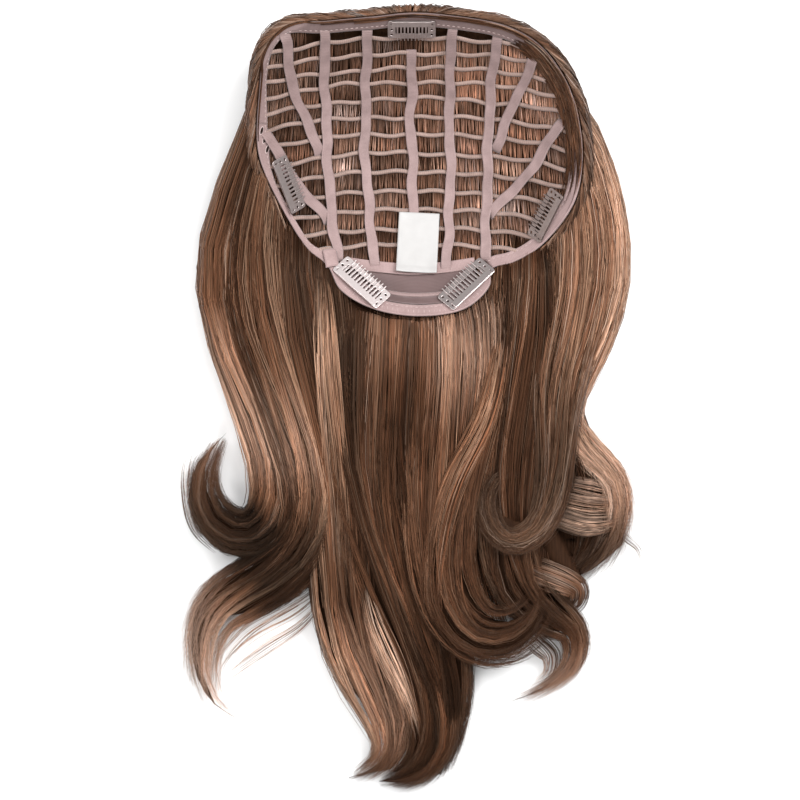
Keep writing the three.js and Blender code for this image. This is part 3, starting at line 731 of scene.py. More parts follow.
# The hair's inner mass: the depth of the hair, painted near-black as the shade inside it, and seen only
# between its outer strands.
# It is the fused lock solid, drawn in under the strands that lie on it, most of all at the tips.

# A lock's curve has so many steps to a station, and every eighth is sampled. Its points lie closer
# where it curls than where it is straight.
LOCK_STEPS = 40
SAMPLED = 8
STRAIGHT_DETAIL = 0.012 / MM

# How far in the solid is drawn, as a share of its lock's smaller half, by that half in millimetres.
DRAWN_HALF = (0, 4, 8, 12, 18)
DRAWN_SHARE = (0.9, 0.75, 0.38, 0.15, 0.11)
OUTER_LEFT_DRAWN = 1.8
OUTER_LEFT_FROM = 10 * MM

# How far it is lowered beside the rim, by millimetres inside the rim.
RIM_DROP = 3.5 * MM
RIM_DROP_AT = (-14, -5, 1, 4)
RIM_DROP_SHARE = (0, 1, 1, 0)

# Stations along each lock in millimetres: x, y and z of its middle, width across and thickness upwards.
LOCKS = {
    "left_flip": [
        (-91, 212, 40, 14, 36), (-97, 169, 31, 18, 46), (-113, 125, 24, 26, 46), (-125, 83, 20, 28, 40),
        (-115, 37, 17, 30, 34), (-95, -2, 15, 32, 30), (-82, -36, 14, 34, 26), (-81, -67, 13, 36, 24),
        (-97, -87, 13, 35, 22), (-115, -86, 12, 33, 20), (-131, -70, 12, 25, 17), (-134, -50, 11, 16, 12),
        (-127, -33, 10, 8, 8), (-116, -21, 9, 2, 3)],
    "left_sweep": [
        (-91, 176, 40, 14, 36), (-96, 132, 29, 28, 46), (-103, 88, 23, 34, 44), (-98, 43, 20, 36, 38),
        (-82, 3, 18, 36, 34), (-66, -35, 16, 36, 30), (-59, -70, 14, 36, 26), (-70, -103, 12, 40, 24),
        (-96, -120, 11, 37, 21), (-124, -130, 10, 33, 18), (-134, -154, 9, 19, 15), (-133, -177, 8, 12, 12),
        (-124, -194, 7, 6, 7), (-106, -205, 6, 2, 3)],
    "left_inner": [
        (-79, 122, 30, 20, 34), (-74, 84, 25, 34, 38), (-69, 43, 22, 36, 36), (-55, -1, 20, 36, 32),
        (-47, -45, 17, 36, 28), (-45, -89, 14, 38, 25), (-43, -127, 12, 40, 22), (-38, -157, 11, 42, 20),
        (-18, -188, 10, 36, 18), (-9, -215, 10, 25, 16), (-16, -232, 9, 14, 12), (-40, -241, 8, 2, 3)],
    "nape_left": [
        (-37, 72, 28, 30, 24), (-38, 31, 25, 40, 28), (-37, -13, 20, 42, 28), (-30, -57, 17, 42, 26),
        (-20, -101, 15, 44, 24), (-6, -139, 13, 44, 22), (10, -174, 12, 40, 20), (19, -201, 11, 36, 18),
        (16, -224, 11, 28, 16), (1, -240, 10, 16, 12), (-21, -243, 8, 3, 4)],
    "nape_centre": [
        (-3, 62, 29, 40, 24), (-4, 25, 26, 46, 28), (-8, -20, 22, 46, 28), (-9, -64, 19, 44, 26),
        (-1, -108, 17, 42, 24), (13, -142, 16, 40, 22), (25, -172, 14, 34, 20), (27, -199, 12, 22, 16),
        (24, -221, 11, 14, 12), (19, -240, 10, 4, 5)],
    "nape_curl": [
        (28, 66, 28, 36, 24), (33, 28, 26, 44, 28), (28, -13, 25, 46, 28), (19, -54, 24, 44, 28),
        (16, -92, 24, 42, 26), (24, -127, 24, 40, 26), (43, -149, 24, 36, 24), (66, -149, 23, 28, 20),
        (81, -134, 22, 18, 15), (85, -114, 20, 5, 6)],
    "right_inner": [
        (85, 110, 32, 20, 36), (82, 72, 26, 36, 40), (77, 31, 22, 38, 36), (69, -10, 19, 38, 32),
        (62, -51, 17, 38, 28), (60, -89, 15, 38, 24), (69, -120, 14, 34, 22), (89, -137, 13, 28, 20),
        (103, -144, 12, 18, 16), (107, -159, 11, 14, 12), (100, -175, 9, 10, 9), (83, -185, 8, 6, 6),
        (62, -193, 7, 2, 3)],
    "right_spiral": [
        (102, 176, 42, 14, 36), (110, 132, 30, 28, 46), (113, 88, 25, 34, 46), (104, 43, 23, 34, 42),
        (90, 3, 24, 30, 36), (91, -34, 26, 24, 30), (90, -62, 28, 20, 24), (79, -85, 30, 17, 20),
        (61, -91, 31, 15, 19), (48, -78, 31, 13, 17), (47, -58, 30, 12, 14), (59, -45, 29, 9, 11),
        (71, -48, 27, 6, 8), (77, -58, 25, 2, 4)],
    "right_flick": [
        (84, 215, 42, 14, 36), (108, 176, 34, 18, 46), (121, 132, 25, 26, 46), (127, 91, 20, 28, 40),
        (122, 53, 17, 28, 34), (106, 20, 15, 26, 30), (94, -8, 14, 22, 24), (110, -35, 13, 22, 19),
        (129, -46, 12, 18, 16), (135, -64, 12, 16, 15), (130, -90, 11, 16, 13), (114, -107, 10, 12, 10),
        (95, -115, 9, 3, 4)],
    "right_fold": [
        (64, -104, 15, 16, 16), (79, -110, 16, 19, 17), (94, -114, 16, 17, 15), (106, -121, 14, 13, 12),
        (104, -130, 13, 9, 9), (90, -134, 12, 3, 4)],
    "right_back": [
        (90, 10, 12, 24, 24), (102, -30, 12, 26, 22), (110, -62, 12, 30, 20), (116, -84, 11, 26, 16),
        (108, -104, 10, 14, 12), (94, -110, 9, 4, 5)],
    "right_loop": [
        (88, -62, 12, 24, 8), (99, -66, 18, 32, 8), (113, -69, 19, 34, 8), (125, -69, 14, 28, 7),
        (133, -68, 8, 22, 5)],
    "left_wisps": [
        (-52, -118, 10, 10, 8), (-75, -138, 7, 20, 8), (-98, -153, 6, 22, 6), (-116, -169, 5, 14, 5),
        (-125, -184, 4, 3, 3)],
    "hook_wisps": [
        (-118, -97, 9, 8, 6), (-135, -82, 9, 8, 6), (-141, -62, 9, 7, 6), (-140, -42, 9, 8, 5),
        (-133, -27, 9, 8, 3)],
    "right_wisps": [
        (70, -148, 10, 8, 6), (82, -152, 9, 18, 6), (92, -162, 8, 16, 5), (90, -175, 7, 10, 4),
        (76, -186, 6, 3, 3)],
    "flick_wisps": [
        (126, -78, 10, 6, 5), (137, -88, 10, 5, 4), (145, -95, 9, 4, 3), (149, -108, 8, 2, 2)],
    "right_deep": [
        (45, -40, 15, 60, 10), (50, -85, 13, 74, 9), (56, -120, 11, 70, 8), (66, -148, 9, 50, 6)],
    "tail_deep": [
        (-8, -186, 9, 30, 6), (-2, -208, 8, 28, 5), (-2, -224, 7, 24, 4), (-12, -237, 6, 10, 3)],
    "golden_streak": [
        (-58, 96, 30, 6, 6), (-55, 70, 37, 10, 8), (-53, 40, 39, 13, 8), (-49, -10, 34, 15, 8),
        (-46, -60, 27, 15, 8), (-43, -110, 22, 13, 8), (-36, -152, 18, 8, 6)],
    "tail_streak": [
        (-30, -112, 22, 4, 4), (-24, -136, 26, 9, 6), (-16, -158, 26, 12, 6), (-7, -178, 25, 11, 6),
        (1, -198, 23, 7, 5), (4, -216, 20, 2, 3)],
    "copper_streak": [
        (58, 60, 26, 6, 6), (56, 28, 36, 10, 7), (47, -13, 37, 14, 7), (28, -51, 37, 14, 7),
        (17, -89, 36, 14, 7), (13, -127, 35, 10, 6), (22, -150, 33, 5, 4)],
}


class Lock:
    """A lock's middle line, half width and half thickness by distance from its root."""

    def __init__(self, stations):
        stations = np.array(stations, float) * MM
        share = np.linspace(0, 1, LOCK_STEPS * len(stations))
        self.middle = through(stations[:, :3], share)
        at = share * (len(stations) - 1)
        self.half = np.stack([np.interp(at, range(len(stations)), stations[:, k]) / 2 for k in (3, 4)], 1)
        self.gone = distances(self.middle)
        self.length = self.gone[-1]
        ahead = np.gradient(self.middle, self.gone, axis=0)
        curl = np.linalg.norm(np.gradient(ahead, self.gone, axis=0), axis=1)
        self.detail = np.concatenate([[0], np.cumsum((STRAIGHT_DETAIL + curl[1:]) * np.diff(self.gone))])

    def spots(self, start, end, points):
        """Distances along the lock from each strand's start to its end, closer together where it curls."""
        first, last = np.interp(start, self.gone, self.detail), np.interp(end, self.gone, self.detail)
        along = np.linspace(first, last, points, axis=1)
        return np.interp(along, self.detail, self.gone)

    def at(self, distance):
        """The middle of the lock and its halves at distances along it."""
        def read(columns):
            return np.stack([np.interp(distance, self.gone, c) for c in columns.T], -1)
        return read(self.middle), read(self.half)


locks = {name: Lock(stations) for name, stations in LOCKS.items()}

core, shade = new_finish("dark hair depth")
streaky = shade.node("ShaderNodeMapping", {}, {"Vector": shade.place(), "Scale": (900.0, 60.0, 300.0)})
streak = shade.node("ShaderNodeTexNoise", {}, {"Vector": streaky, "Scale": 1.0, "Detail": 3.0})
# Painted shade: the inner mass is darker than any fibre, as the shade deep in the hair.
shine(core, {
    "Base Color": streak.mix((0.010, 0.0045, 0.0025, 1), (0.050, 0.023, 0.012, 1)),
    "Roughness": 0.6 + streak * 0.2, "Normal": shade.relief(streak, 0.6, 0.6 * MM),
    "Specular IOR Level": 0.04,
})

bm = bmesh.new()
bm.from_mesh(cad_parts["hair"].data)
bmesh.ops.remove_doubles(bm, verts=bm.verts[:], dist=0.01 * MM)
bm.normal_update()
places = np.array([v.co[:] for v in bm.verts])
normals = np.array([v.normal[:] for v in bm.verts])
samples = np.vstack([lock.middle[::SAMPLED] for lock in locks.values()])
sample_half = np.concatenate([lock.half[::SAMPLED].min(1) for lock in locks.values()])
nearest = np.array([np.argmin(((samples - p) ** 2).sum(1)) for p in places])
half = sample_half[nearest]
drawn_in = half * np.interp(half / MM, DRAWN_HALF, DRAWN_SHARE)
outer_left = nearest < len(locks["left_flip"].half[::SAMPLED])
drawn_in[outer_left & (half > OUTER_LEFT_FROM)] *= OUTER_LEFT_DRAWN
places -= normals * drawn_in[:, None]
places[:, 2] -= RIM_DROP * np.interp(rim_margin(places[:, :2]) / MM, RIM_DROP_AT, RIM_DROP_SHARE)
for v, p in zip(bm.verts, places):
    v.co = (p[0], p[1], max(p[2], 0.0))
hair_depth = new_piece("hair_depth", bm, core)
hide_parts("hair")


# The strands: glossy wavy fibre in dark brown, mid brown, caramel and copper, sewn into the wefts.
# Each strand follows its lock, shares its upper length with the lock beside it, and gathers into a tuft.
STRAND_THICK = 0.5 * MM
TUFTS = 14
FIBRE = {
    "dark": (0.034, 0.0125, 0.0060),
    "mid": (0.105, 0.042, 0.0200),
    "warm": (0.180, 0.080, 0.0410),
    "caramel": (0.330, 0.198, 0.128),
    "golden": (0.460, 0.335, 0.262),
    "copper": (0.230, 0.085, 0.039),
}

# How many strands each lock carries, how its fibre is mixed (shares of dark, mid, warm, caramel, golden
# and copper) and how light it is painted in equal steps from its root to its tip: painted shade in the
# bends and painted highlights on the waves.
LOCK_FIBRE = {
    "left_flip": (
        740, (0.22, 0.34, 0.25, 0.16, 0.02, 0.01), (0.9, 0.85, 0.8, 1.1, 2.5, 2.7, 0.07, 0.4, 1.5)),
    "left_sweep": (
        760, (0.26, 0.34, 0.22, 0.15, 0.02, 0.01), (0.85, 0.95, 0.92, 1.3, 2.3, 0.35, 0.16, 4.8, 4.4)),
    "left_inner": (
        800, (0.24, 0.33, 0.25, 0.15, 0.02, 0.01), (0.5, 0.5, 0.65, 1.0, 1.2, 0.45, 2.0, 1.8, 0.9)),
    "nape_left": (
        820, (0.24, 0.34, 0.27, 0.12, 0.01, 0.02), (0.8, 0.32, 0.26, 1.05, 0.9, 0.6, 0.8, 0.5, 0.55)),
    "nape_centre": (
        780, (0.26, 0.36, 0.24, 0.10, 0.01, 0.03), (1.8, 1.2, 0.78, 0.62, 0.66, 0.55, 0.33, 0.35, 0.5)),
    "nape_curl": (
        820, (0.24, 0.33, 0.25, 0.11, 0.02, 0.05), (1.8, 2.5, 1.4, 0.9, 0.72, 0.75, 0.68, 0.5, 0.5)),
    "right_inner": (
        780, (0.32, 0.34, 0.20, 0.11, 0.02, 0.01), (1.0, 0.85, 0.75, 0.62, 0.58, 0.62, 0.3, 2.2, 3.4)),
    "right_spiral": (
        760, (0.17, 0.27, 0.26, 0.23, 0.06, 0.01), (1.5, 1.5, 1.4, 1.2, 0.7, 0.38, 0.62, 0.42, 0.3)),
    "right_flick": (
        780, (0.08, 0.13, 0.21, 0.34, 0.23, 0.01), (1.75, 1.85, 1.8, 1.75, 1.7, 1.6, 2.6, 0.7, 0.45)),
    "right_fold": (
        170, (0.26, 0.32, 0.22, 0.16, 0.03, 0.01), (0.4, 0.7, 1.5, 2.4, 2.4, 1.2, 0.5, 0.35, 0.3)),
    "right_back": (
        120, (0.40, 0.34, 0.16, 0.08, 0.01, 0.01), (0.6, 0.6, 0.55, 0.5, 0.45, 0.35, 0.3, 0.4, 0.5)),
    "right_loop": (
        170, (0.20, 0.25, 0.25, 0.21, 0.08, 0.01), (0.5, 1.3, 3.1, 3.8, 3.8, 3.3, 2.1, 1.0, 0.6)),
    "right_deep": (
        210, (0.50, 0.34, 0.12, 0.04, 0.0, 0.0), (0.55, 0.55, 0.55, 0.55, 0.55, 0.55, 0.55, 0.55, 0.55)),
    "tail_deep": (
        50, (0.40, 0.34, 0.18, 0.08, 0.0, 0.0), (0.6, 0.6, 0.65, 0.65, 0.65, 0.65, 0.65, 0.65, 0.65)),
    "golden_streak": (
        130, (0.05, 0.20, 0.34, 0.32, 0.08, 0.01), (0.45, 1.1, 1.8, 1.4, 1.2, 1.05, 0.9, 0.65, 0.45)),
    "tail_streak": (
        80, (0.06, 0.14, 0.25, 0.33, 0.21, 0.01), (0.5, 1.0, 1.7, 2.2, 2.3, 2.2, 1.9, 1.3, 0.7)),
    "copper_streak": (
        130, (0.08, 0.22, 0.28, 0.20, 0.04, 0.18), (0.6, 1.0, 1.2, 1.25, 1.15, 1.0, 0.95, 0.85, 0.6)),
    "left_wisps": (
        44, (0.10, 0.20, 0.30, 0.28, 0.12, 0.0), (1.1, 1.3, 1.4, 1.5, 1.6, 1.7, 1.8, 1.8, 1.8)),
    "hook_wisps": (
        50, (0.30, 0.30, 0.25, 0.15, 0.0, 0.0), (0.7, 0.7, 0.7, 0.8, 0.8, 0.9, 0.9, 1.0, 1.1)),
    "right_wisps": (
        60, (0.15, 0.25, 0.30, 0.25, 0.05, 0.0), (0.8, 0.9, 1.1, 1.3, 1.5, 1.6, 1.7, 1.8, 1.8)),
    "flick_wisps": (
        16, (0.30, 0.30, 0.25, 0.15, 0.0, 0.0), (0.9, 0.9, 1.0, 1.0, 1.0, 1.1, 1.1, 1.1, 1.1)),
}

# Locks that lie next to each other, from the left.
SIDE_BY_SIDE = (
    "left_flip", "left_sweep", "left_inner", "nape_left", "nape_centre", "nape_curl", "right_inner",
    "right_spiral", "right_flick")

# The outermost locks, whose side strands all lie on their open side.
OUTER_SIDE = {"left_flip": -1.0, "right_flick": 1.0}

# Locks whose strands all reach the tip and stay together there.
NEAT = ("left_flip", "left_inner", "nape_left", "nape_centre", "right_loop")

# Locks that only fill the depth behind others, with thicker strands, dim as painted shade there.
FILLING = ("right_deep", "tail_deep")

# How far strands lie under the bowl's surface, by how far inside the rim they are, all in millimetres.
SUNK_AT = (-60, -14, -3, 2)
SUNK = (-60, -3.5, 2.4, 6)
SUNK_AT_NAPE = (-60, -4.5, 0.0, 5)
UNDER_TAPE = 0.6 * MM
TAPE_EDGE = 0.8 * MM


def sideways(path):
    """Level direction across each point of many paths, and the upward one square to it."""
    ahead = np.gradient(path, axis=1)
    ahead /= np.linalg.norm(ahead, axis=2, keepdims=True) + 1e-12
    across = np.stack([-ahead[..., 1], ahead[..., 0], np.zeros_like(ahead[..., 0])], -1)
    across /= np.linalg.norm(across, axis=2, keepdims=True) + 1e-9
    return across, np.cross(ahead, across)


def settle(path, lift, at_nape):
    """Strands keep out of the cap's hollow and off the floor. At the nape they come up to the binding."""
    margin = rim_margin(path[..., :2])
    below = np.interp(margin / MM, SUNK_AT, SUNK_AT_NAPE if at_nape else SUNK) * MM
    ceiling = cap_height(path[..., 0], path[..., 1]) - below
    path[..., 2] = np.minimum(path[..., 2], ceiling)

    # A strand that would cross over a tape between two of its points is lowered under it.
    for part in () if at_nape else (0.2, 0.4, 0.6, 0.8):
        between = path[:, :-1] * (1 - part) + path[:, 1:] * part
        over = between[..., 2] - cap_height(between[..., 0], between[..., 1]) + UNDER_TAPE
        over = np.where(rim_margin(between[..., :2]) > -TAPE_EDGE, np.maximum(over, 0), 0)
        path[:, :-1, 2] -= over
        path[:, 1:, 2] -= over
    path[..., 2] = np.maximum(path[..., 2], lift)
    return path


hair_finish, shade = new_finish("wavy brown fibre")
tint = shade.node("ShaderNodeAttribute", {"attribute_name": "tint"}, {})
shine(hair_finish, {
    "Base Color": tint, "Roughness": 0.33, "Specular IOR Level": 0.2, "Specular Tint": (1.0, 0.74, 0.56, 1)})


def strands(name, path, thick, tints):
    """One piece of many closed three-sided strands. path and tints are strands by points by 3."""
    count, points = path.shape[:2]
    across, up = sideways(path)
    taper = np.interp(np.linspace(0, 1, points), [0, 0.05, 0.55, 1], [0.7, 1.0, 0.9, 0.1])
    radius = (np.asarray(thick).reshape(-1, 1) / 2 * taper)[..., None, None]
    turn = np.arange(3) * 2 * math.pi / 3 + math.pi / 2
    ring = across[:, :, None] * np.cos(turn)[:, None] + up[:, :, None] * np.sin(turn)[:, None]
    places = (path[:, :, None] + ring * radius).reshape(-1, 3)

    first = (np.arange(count) * points * 3)[:, None, None]
    row = np.arange(points - 1)[:, None] * 3
    k, m = np.arange(3), (np.arange(3) + 1) % 3
    quads = np.stack([row + k, row + m, row + 3 + m, row + 3 + k], -1)[None] + first[..., None]
    ends = np.array([[2, 1, 0], np.array([0, 1, 2]) + (points - 1) * 3])[None] + first
    corners = np.concatenate([quads.reshape(-1), ends.reshape(-1)])
    sizes = np.concatenate([np.full(quads.size // 4, 4), np.full(ends.size // 3, 3)])

    mesh = bpy.data.meshes.new(name)
    mesh.vertices.add(len(places))
    mesh.vertices.foreach_set("co", places.astype(np.float32).ravel())
    mesh.loops.add(len(corners))
    mesh.loops.foreach_set("vertex_index", corners.astype(np.int32))
    mesh.polygons.add(len(sizes))
    mesh.polygons.foreach_set("loop_start", np.concatenate([[0], np.cumsum(sizes)[:-1]]).astype(np.int32))
    mesh.polygons.foreach_set("use_smooth", np.ones(len(sizes), bool))
    colour = mesh.attributes.new("tint", "FLOAT_COLOR", "POINT")
    shown = np.ones((count, points, 3, 4), np.float32)
    shown[..., :3] = tints[:, :, None]
    colour.data.foreach_set("color", shown.ravel())

    # Each strand has a row of its own in the map, and rows of like colour lie together.
    place_in_map = np.empty(count)
    place_in_map[np.argsort(tints.mean((1, 2)))] = np.arange(count)
    level = ((place_in_map[:, None] + 0.1 + 0.8 * np.arange(3) / 2) / count)[:, None]
    along = np.linspace(0.002, 0.998, points)[None, :, None]
    spot = np.stack(np.broadcast_arrays(along, level), -1).reshape(-1, 2)
    mesh.uv_layers.new(name="OFBake").uv.foreach_set("vector", spot[corners].astype(np.float32).ravel())
    mesh.update()
    mesh.validate()
    join_object(name, mesh, hair_finish)


# Where a lock is painted this much lighter than its fibre, the fibre turns pale as a painted highlight,
# up to a share.
PALE_FROM = 1.3
PALE_RANGE = 2.0
PALE_MOST = 0.75
PALE = np.array(FIBRE["golden"]) * 0.9


def fibre_tints(count, points, mix, tuft, light=(0.9, 1.0, 1.1), share=None, apart=0.5):
    """Colour along each strand: fibre, tuft's tone and flecks, with the lock's painted light and shade."""
    fibres = np.array(list(FIBRE.values()))
    mix = np.asarray(mix)
    leaning = rng.dirichlet(mix * 3 + 0.02, tuft.max() + 1)
    chance = 0.4 * mix + 0.6 * leaning[tuft]
    pick = (rng.random((count, 1)) > np.cumsum(chance, 1)).sum(1).clip(0, len(fibres) - 1)
    own = apart * fibres[pick] + (1 - apart) * (chance @ fibres)
    shade_of_tuft = rng.normal(1.0, 0.2, tuft.max() + 1)[tuft]
    own = own * (shade_of_tuft * rng.normal(1.0, 0.14, count)).clip(0.4, 1.8)[:, None]
    if share is None:
        share = np.linspace(0, 1, points)[None]
    # Painted light and shade along the lock, its strongest painted highlights turned pale.
    lit = np.interp(share, np.linspace(0, 1, len(light)), light) ** rng.uniform(0.65, 1.4, (count, 1))
    shimmer = rng.normal(0, 0.2, (tuft.max() + 1, points))[tuft] + rng.normal(0, 0.17, (count, points))
    pale = (PALE_MOST * np.clip((lit - PALE_FROM) / PALE_RANGE, 0, 1))[..., None]
    colour = own[:, None] * lit[..., None] * (1 - pale) + PALE * pale
    return colour * (1 + shimmer).clip(0.35, 1.9)[..., None]


def ease(share, start, end):
    """From 1 smoothly down to 0 between a start and an end."""
    x = np.clip((share - start) / (end - start), 0, 1)
    return 1 - x * x * (3 - 2 * x)


# How far strands spread past a lock's own width, and which share of them lies on top. The rest fill
# its depth, cover its sides and lie underneath.
SPREAD = 1.08
TOP_SHARE = 0.68
SIDES_FROM = 0.76
UNDER_FROM = 0.9
SECTION_SQUARENESS = 2.6

# The roots are drawn in under the cap, by so much at first and over a run.
ROOT_HIDDEN = 9 * MM
ROOT_RUN = 24 * MM

# How much the tufts of a lock sway apart, sideways and up, as shares of its width and thickness, in slow
# and quick waves.
TUFTS_UNLIKE = 0.42
SWAY_SIDE = (0.22, 0.16)
SWAY_UP = (0.11, 0.06)

# Lengths of the waves: a tuft's slow and quick ones, a lock's roll and a single strand's bends. A lock
# as thick as this from its middle rolls to its full height.
SLOW_WAVE = 46 * MM
QUICK_WAVE = 21 * MM
ROLL_WAVE = 17 * MM
ROLL_HIGH = 2.4 * MM
ROLL_FULL = 8 * MM
BEND_SLOW = 45 * MM
BEND_QUICK = 22 * MM

# A few strands stray further than the rest, and all keep clear of the floor.
STRAY_SHARE = 0.05
STRAY_FAR = 2.6
STRAY_UP = 0.35 * MM
FLOOR_CLEAR = 0.35 * MM
FLOOR_UNEVEN = 0.5 * MM

# How far the tufts part at the tip and how much the lock fans out there.
NEAT_TIP = (0.9 * MM, 0.05)
LOOSE_TIP = (2.2 * MM, 0.38)

# Fine strands are painted lighter than the outer ones, as fine highlights, and the outer ones lighter
# than those inside, as painted shade in the lock's depth.
FINE_SHARE = 0.3
FINE_THIN = 0.55
FINE_LIGHT = 1.4
OUTER_LIGHT = 0.97
INNER_LIGHT = 0.45

# Strands that only fill are thicker, and wisps are thinner.
FILLING_THICK = 2.6
WISP_THICK = 0.7

# How far from its root a strand lies in shade, and how deep the shade is: less at the nape.
SHADE_FROM = 6 * MM
NAPE_SHADE = (16 * MM, 0.2)
SIDE_SHADE = (45 * MM, 0.65)


def shared_roots(name, u, distance, middle, half):
    """Outer strands start part of the way to the lock beside theirs, and every root lies under the cap."""
    share = distance / locks[name].length
    place = SIDE_BY_SIDE.index(name)
    for side in (-1, 1):
        if not 0 <= place + side < len(SIDE_BY_SIDE):
            continue
        beside = locks[SIDE_BY_SIDE[place + side]]
        other, other_half = beside.at(np.minimum(distance, beside.length))
        edge = np.clip((u * side - 0.25) / 0.8, 0, 1) * rng.random(len(u)) * 0.5
        lean = (edge[:, None] * ease(share, 0.15, 0.55))[..., None]
        middle = middle + (other - middle) * lean
        half = half + (other_half - half) * lean
    hidden = (ease(distance, 0, ROOT_RUN) * ROOT_HIDDEN)[..., None]
    middle[..., :2] += unit(CAP_MIDDLE - middle[..., :2]) * hidden
    return middle, half


def lock_strands(name, points):
    """Paths, tints and thicknesses of the strands of one lock."""
    lock = locks[name]
    count, mix, light = LOCK_FIBRE[name]
    filling, neat, abreast = name in FILLING, name in NEAT, name in SIDE_BY_SIDE
    u = rng.uniform(-SPREAD, SPREAD, count)
    if filling:
        u = np.linspace(-SPREAD, SPREAD, count)
    tuft = ((u + SPREAD) / (2 * SPREAD) * TUFTS + rng.normal(0, 0.3, count)).astype(int).clip(0, TUFTS - 1)
    short = 0.09 * rng.random(TUFTS)[tuft] + 0.2 * rng.random(count) ** 2
    short *= 0.1 if filling else 0.35 if neat else 1.0
    late = 0.0 if abreast or neat else 0.28
    distance = lock.spots(lock.length * late * rng.random(count), lock.length * (1 - short), points)
    share = distance / lock.length
    middle, half = lock.at(distance)

    # Those on top lie in tufts of different heights.
    layer = rng.random(count)
    on_top = layer < TOP_SHARE
    tuft_u = ((np.arange(TUFTS) + rng.uniform(0.2, 0.8, TUFTS)) / TUFTS * 2 - 1)[tuft]
    depth = rng.uniform(0.7, 1.05, TUFTS)[tuft] + rng.normal(0, 0.04, count)
    depth = np.where(on_top, depth, np.where(layer < UNDER_FROM, rng.uniform(0.1, 0.7, count), -1.0))
    v = (1 - np.abs(u / 1.1) ** SECTION_SQUARENESS) ** (1 / SECTION_SQUARENESS) * depth
    on_side = (layer > SIDES_FROM) & (layer < UNDER_FROM) & (not filling)
    u = np.where(on_side, np.copysign(SPREAD, OUTER_SIDE.get(name, u)), u)
    v = np.where(on_side, rng.uniform(-0.95, 0.35, count), v)
    if abreast:
        middle, half = shared_roots(name, u, distance, middle, half)

    # Tufts wander, gather and wave; each strand strays a little from its tuft, most at the tip.
    sway = rng.random((TUFTS, 4)) * 2 * math.pi
    sway = sway[:1] + TUFTS_UNLIKE * (sway - math.pi)
    grown = 1 - ease(share, 0.0, 0.3)
    slow, quick = distance / SLOW_WAVE, distance / QUICK_WAVE
    inside = 0.0 if filling else 1 - 0.8 * np.minimum(np.abs(u), 1)[:, None] ** 3
    if name == "right_loop":
        inside = inside * 0.4
    wander_u = SWAY_SIDE[0] * np.sin(slow + sway[tuft, 0:1]) + SWAY_SIDE[1] * np.sin(quick + sway[tuft, 1:2])
    wander_u = wander_u * inside
    wander_v = SWAY_UP[0] * np.sin(slow * 1.2 + sway[tuft, 2:3])
    wander_v = wander_v + SWAY_UP[1] * np.sin(quick * 1.1 + sway[tuft, 3:4])
    hold = 0.58 if abreast else 0.0 if filling else 0.25
    gather = hold * (1 - ease(share, 0.1, 0.9)) * np.where(on_top, 1.0, 0.3)[:, None]
    tip_apart, tip_fan = NEAT_TIP if neat else LOOSE_TIP
    apart = rng.normal(0, tip_apart, (TUFTS, 2))[tuft][:, None]
    parting = apart * (np.clip((share - 0.72) / 0.28, 0, 1) ** 2)[..., None]
    fan = 1 + tip_fan * np.clip((share - 0.7) / 0.3, 0, 1) ** 1.5
    u = (u[:, None] + (tuft_u - u)[:, None] * gather + wander_u * grown) * fan
    v = v[:, None] + wander_v * grown
    across, up = sideways(middle)
    path = middle + across * (u * half[..., 0])[..., None] + up * (v * half[..., 1])[..., None]

    far = np.where(rng.random(count) < STRAY_SHARE, STRAY_FAR, 1.0)
    stray = far[:, None] * rng.normal(0, 1, (count, 2))
    phase = rng.random((count, 2)) * 2 * math.pi
    bend = np.sin(distance / BEND_SLOW + phase[:, 0:1]) + 0.5 * np.sin(distance / BEND_QUICK + phase[:, 1:2])
    path += across * (stray[:, 0:1] * MM * (0.5 + 0.7 * share**2) * bend)[..., None]
    path[..., 2] += stray[:, 1:2] * STRAY_UP * bend
    path[..., :2] += parting
    rolling = ROLL_HIGH * (1 + np.sin(distance / ROLL_WAVE + sway[0, 0])) * grown
    path[..., 2] += rolling * np.clip(half[..., 1] / ROLL_FULL, 0, 1)
    for _ in range(2):
        path[:, 1:-1] = (path[:, :-2] + 2 * path[:, 1:-1] + path[:, 2:]) / 4
    floor = FLOOR_CLEAR + FLOOR_UNEVEN * rng.random((count, 1))
    fine = rng.random(count) < FINE_SHARE
    tints = fibre_tints(count, points, mix, tuft, light, share)
    # Painted highlights on fine strands, painted shade on those inside the lock.
    tints *= np.where(fine, FINE_LIGHT, np.where(on_top | on_side, OUTER_LIGHT, INNER_LIGHT))[:, None, None]
    shade_long, shade_deep = NAPE_SHADE if name.startswith("nape") else SIDE_SHADE
    tints *= 1 - shade_deep * ease(distance, SHADE_FROM, shade_long)[..., None]
    thick = STRAND_THICK * rng.uniform(0.7, 1.3, count) * np.where(fine, FINE_THIN, 1.0)
    if filling:
        thick *= FILLING_THICK
    if name.endswith("wisps"):
        thick *= WISP_THICK
    return settle(path, floor, name == "nape_centre"), tints, thick


# Each fall's points to a strand, more where its locks curl, and its locks.
FALLS = {
    "left_fall_outer": (16, ("left_flip", "left_sweep", "left_wisps", "hook_wisps")),
    "left_fall_inner": (13, ("left_inner", "nape_left", "golden_streak", "tail_streak", "tail_deep")),
    "nape_fall": (15, ("nape_centre", "nape_curl", "copper_streak")),
    "right_fall_inner": (18, ("right_inner", "right_spiral", "right_wisps")),
    "right_fall_outer": (
        16, ("right_flick", "right_fold", "right_back", "right_loop", "right_deep", "flick_wisps")),
}
for fall, (points, names) in FALLS.items():
    parts = [lock_strands(name, points) for name in names]
    path, tints, thick = (np.concatenate(column) for column in zip(*parts))
    strands(fall, path, thick, tints)


# The weft hair: the short visible stretch of hair under each weft track, before it passes
# behind the next one. It lies on the outside of the cap and shows through its open rows.
CELL_STRANDS = 430
CELL_POINTS = 3
CELL_THICK = 0.62 * MM
CELL_MIX = (0.20, 0.31, 0.28, 0.17, 0.03, 0.01)
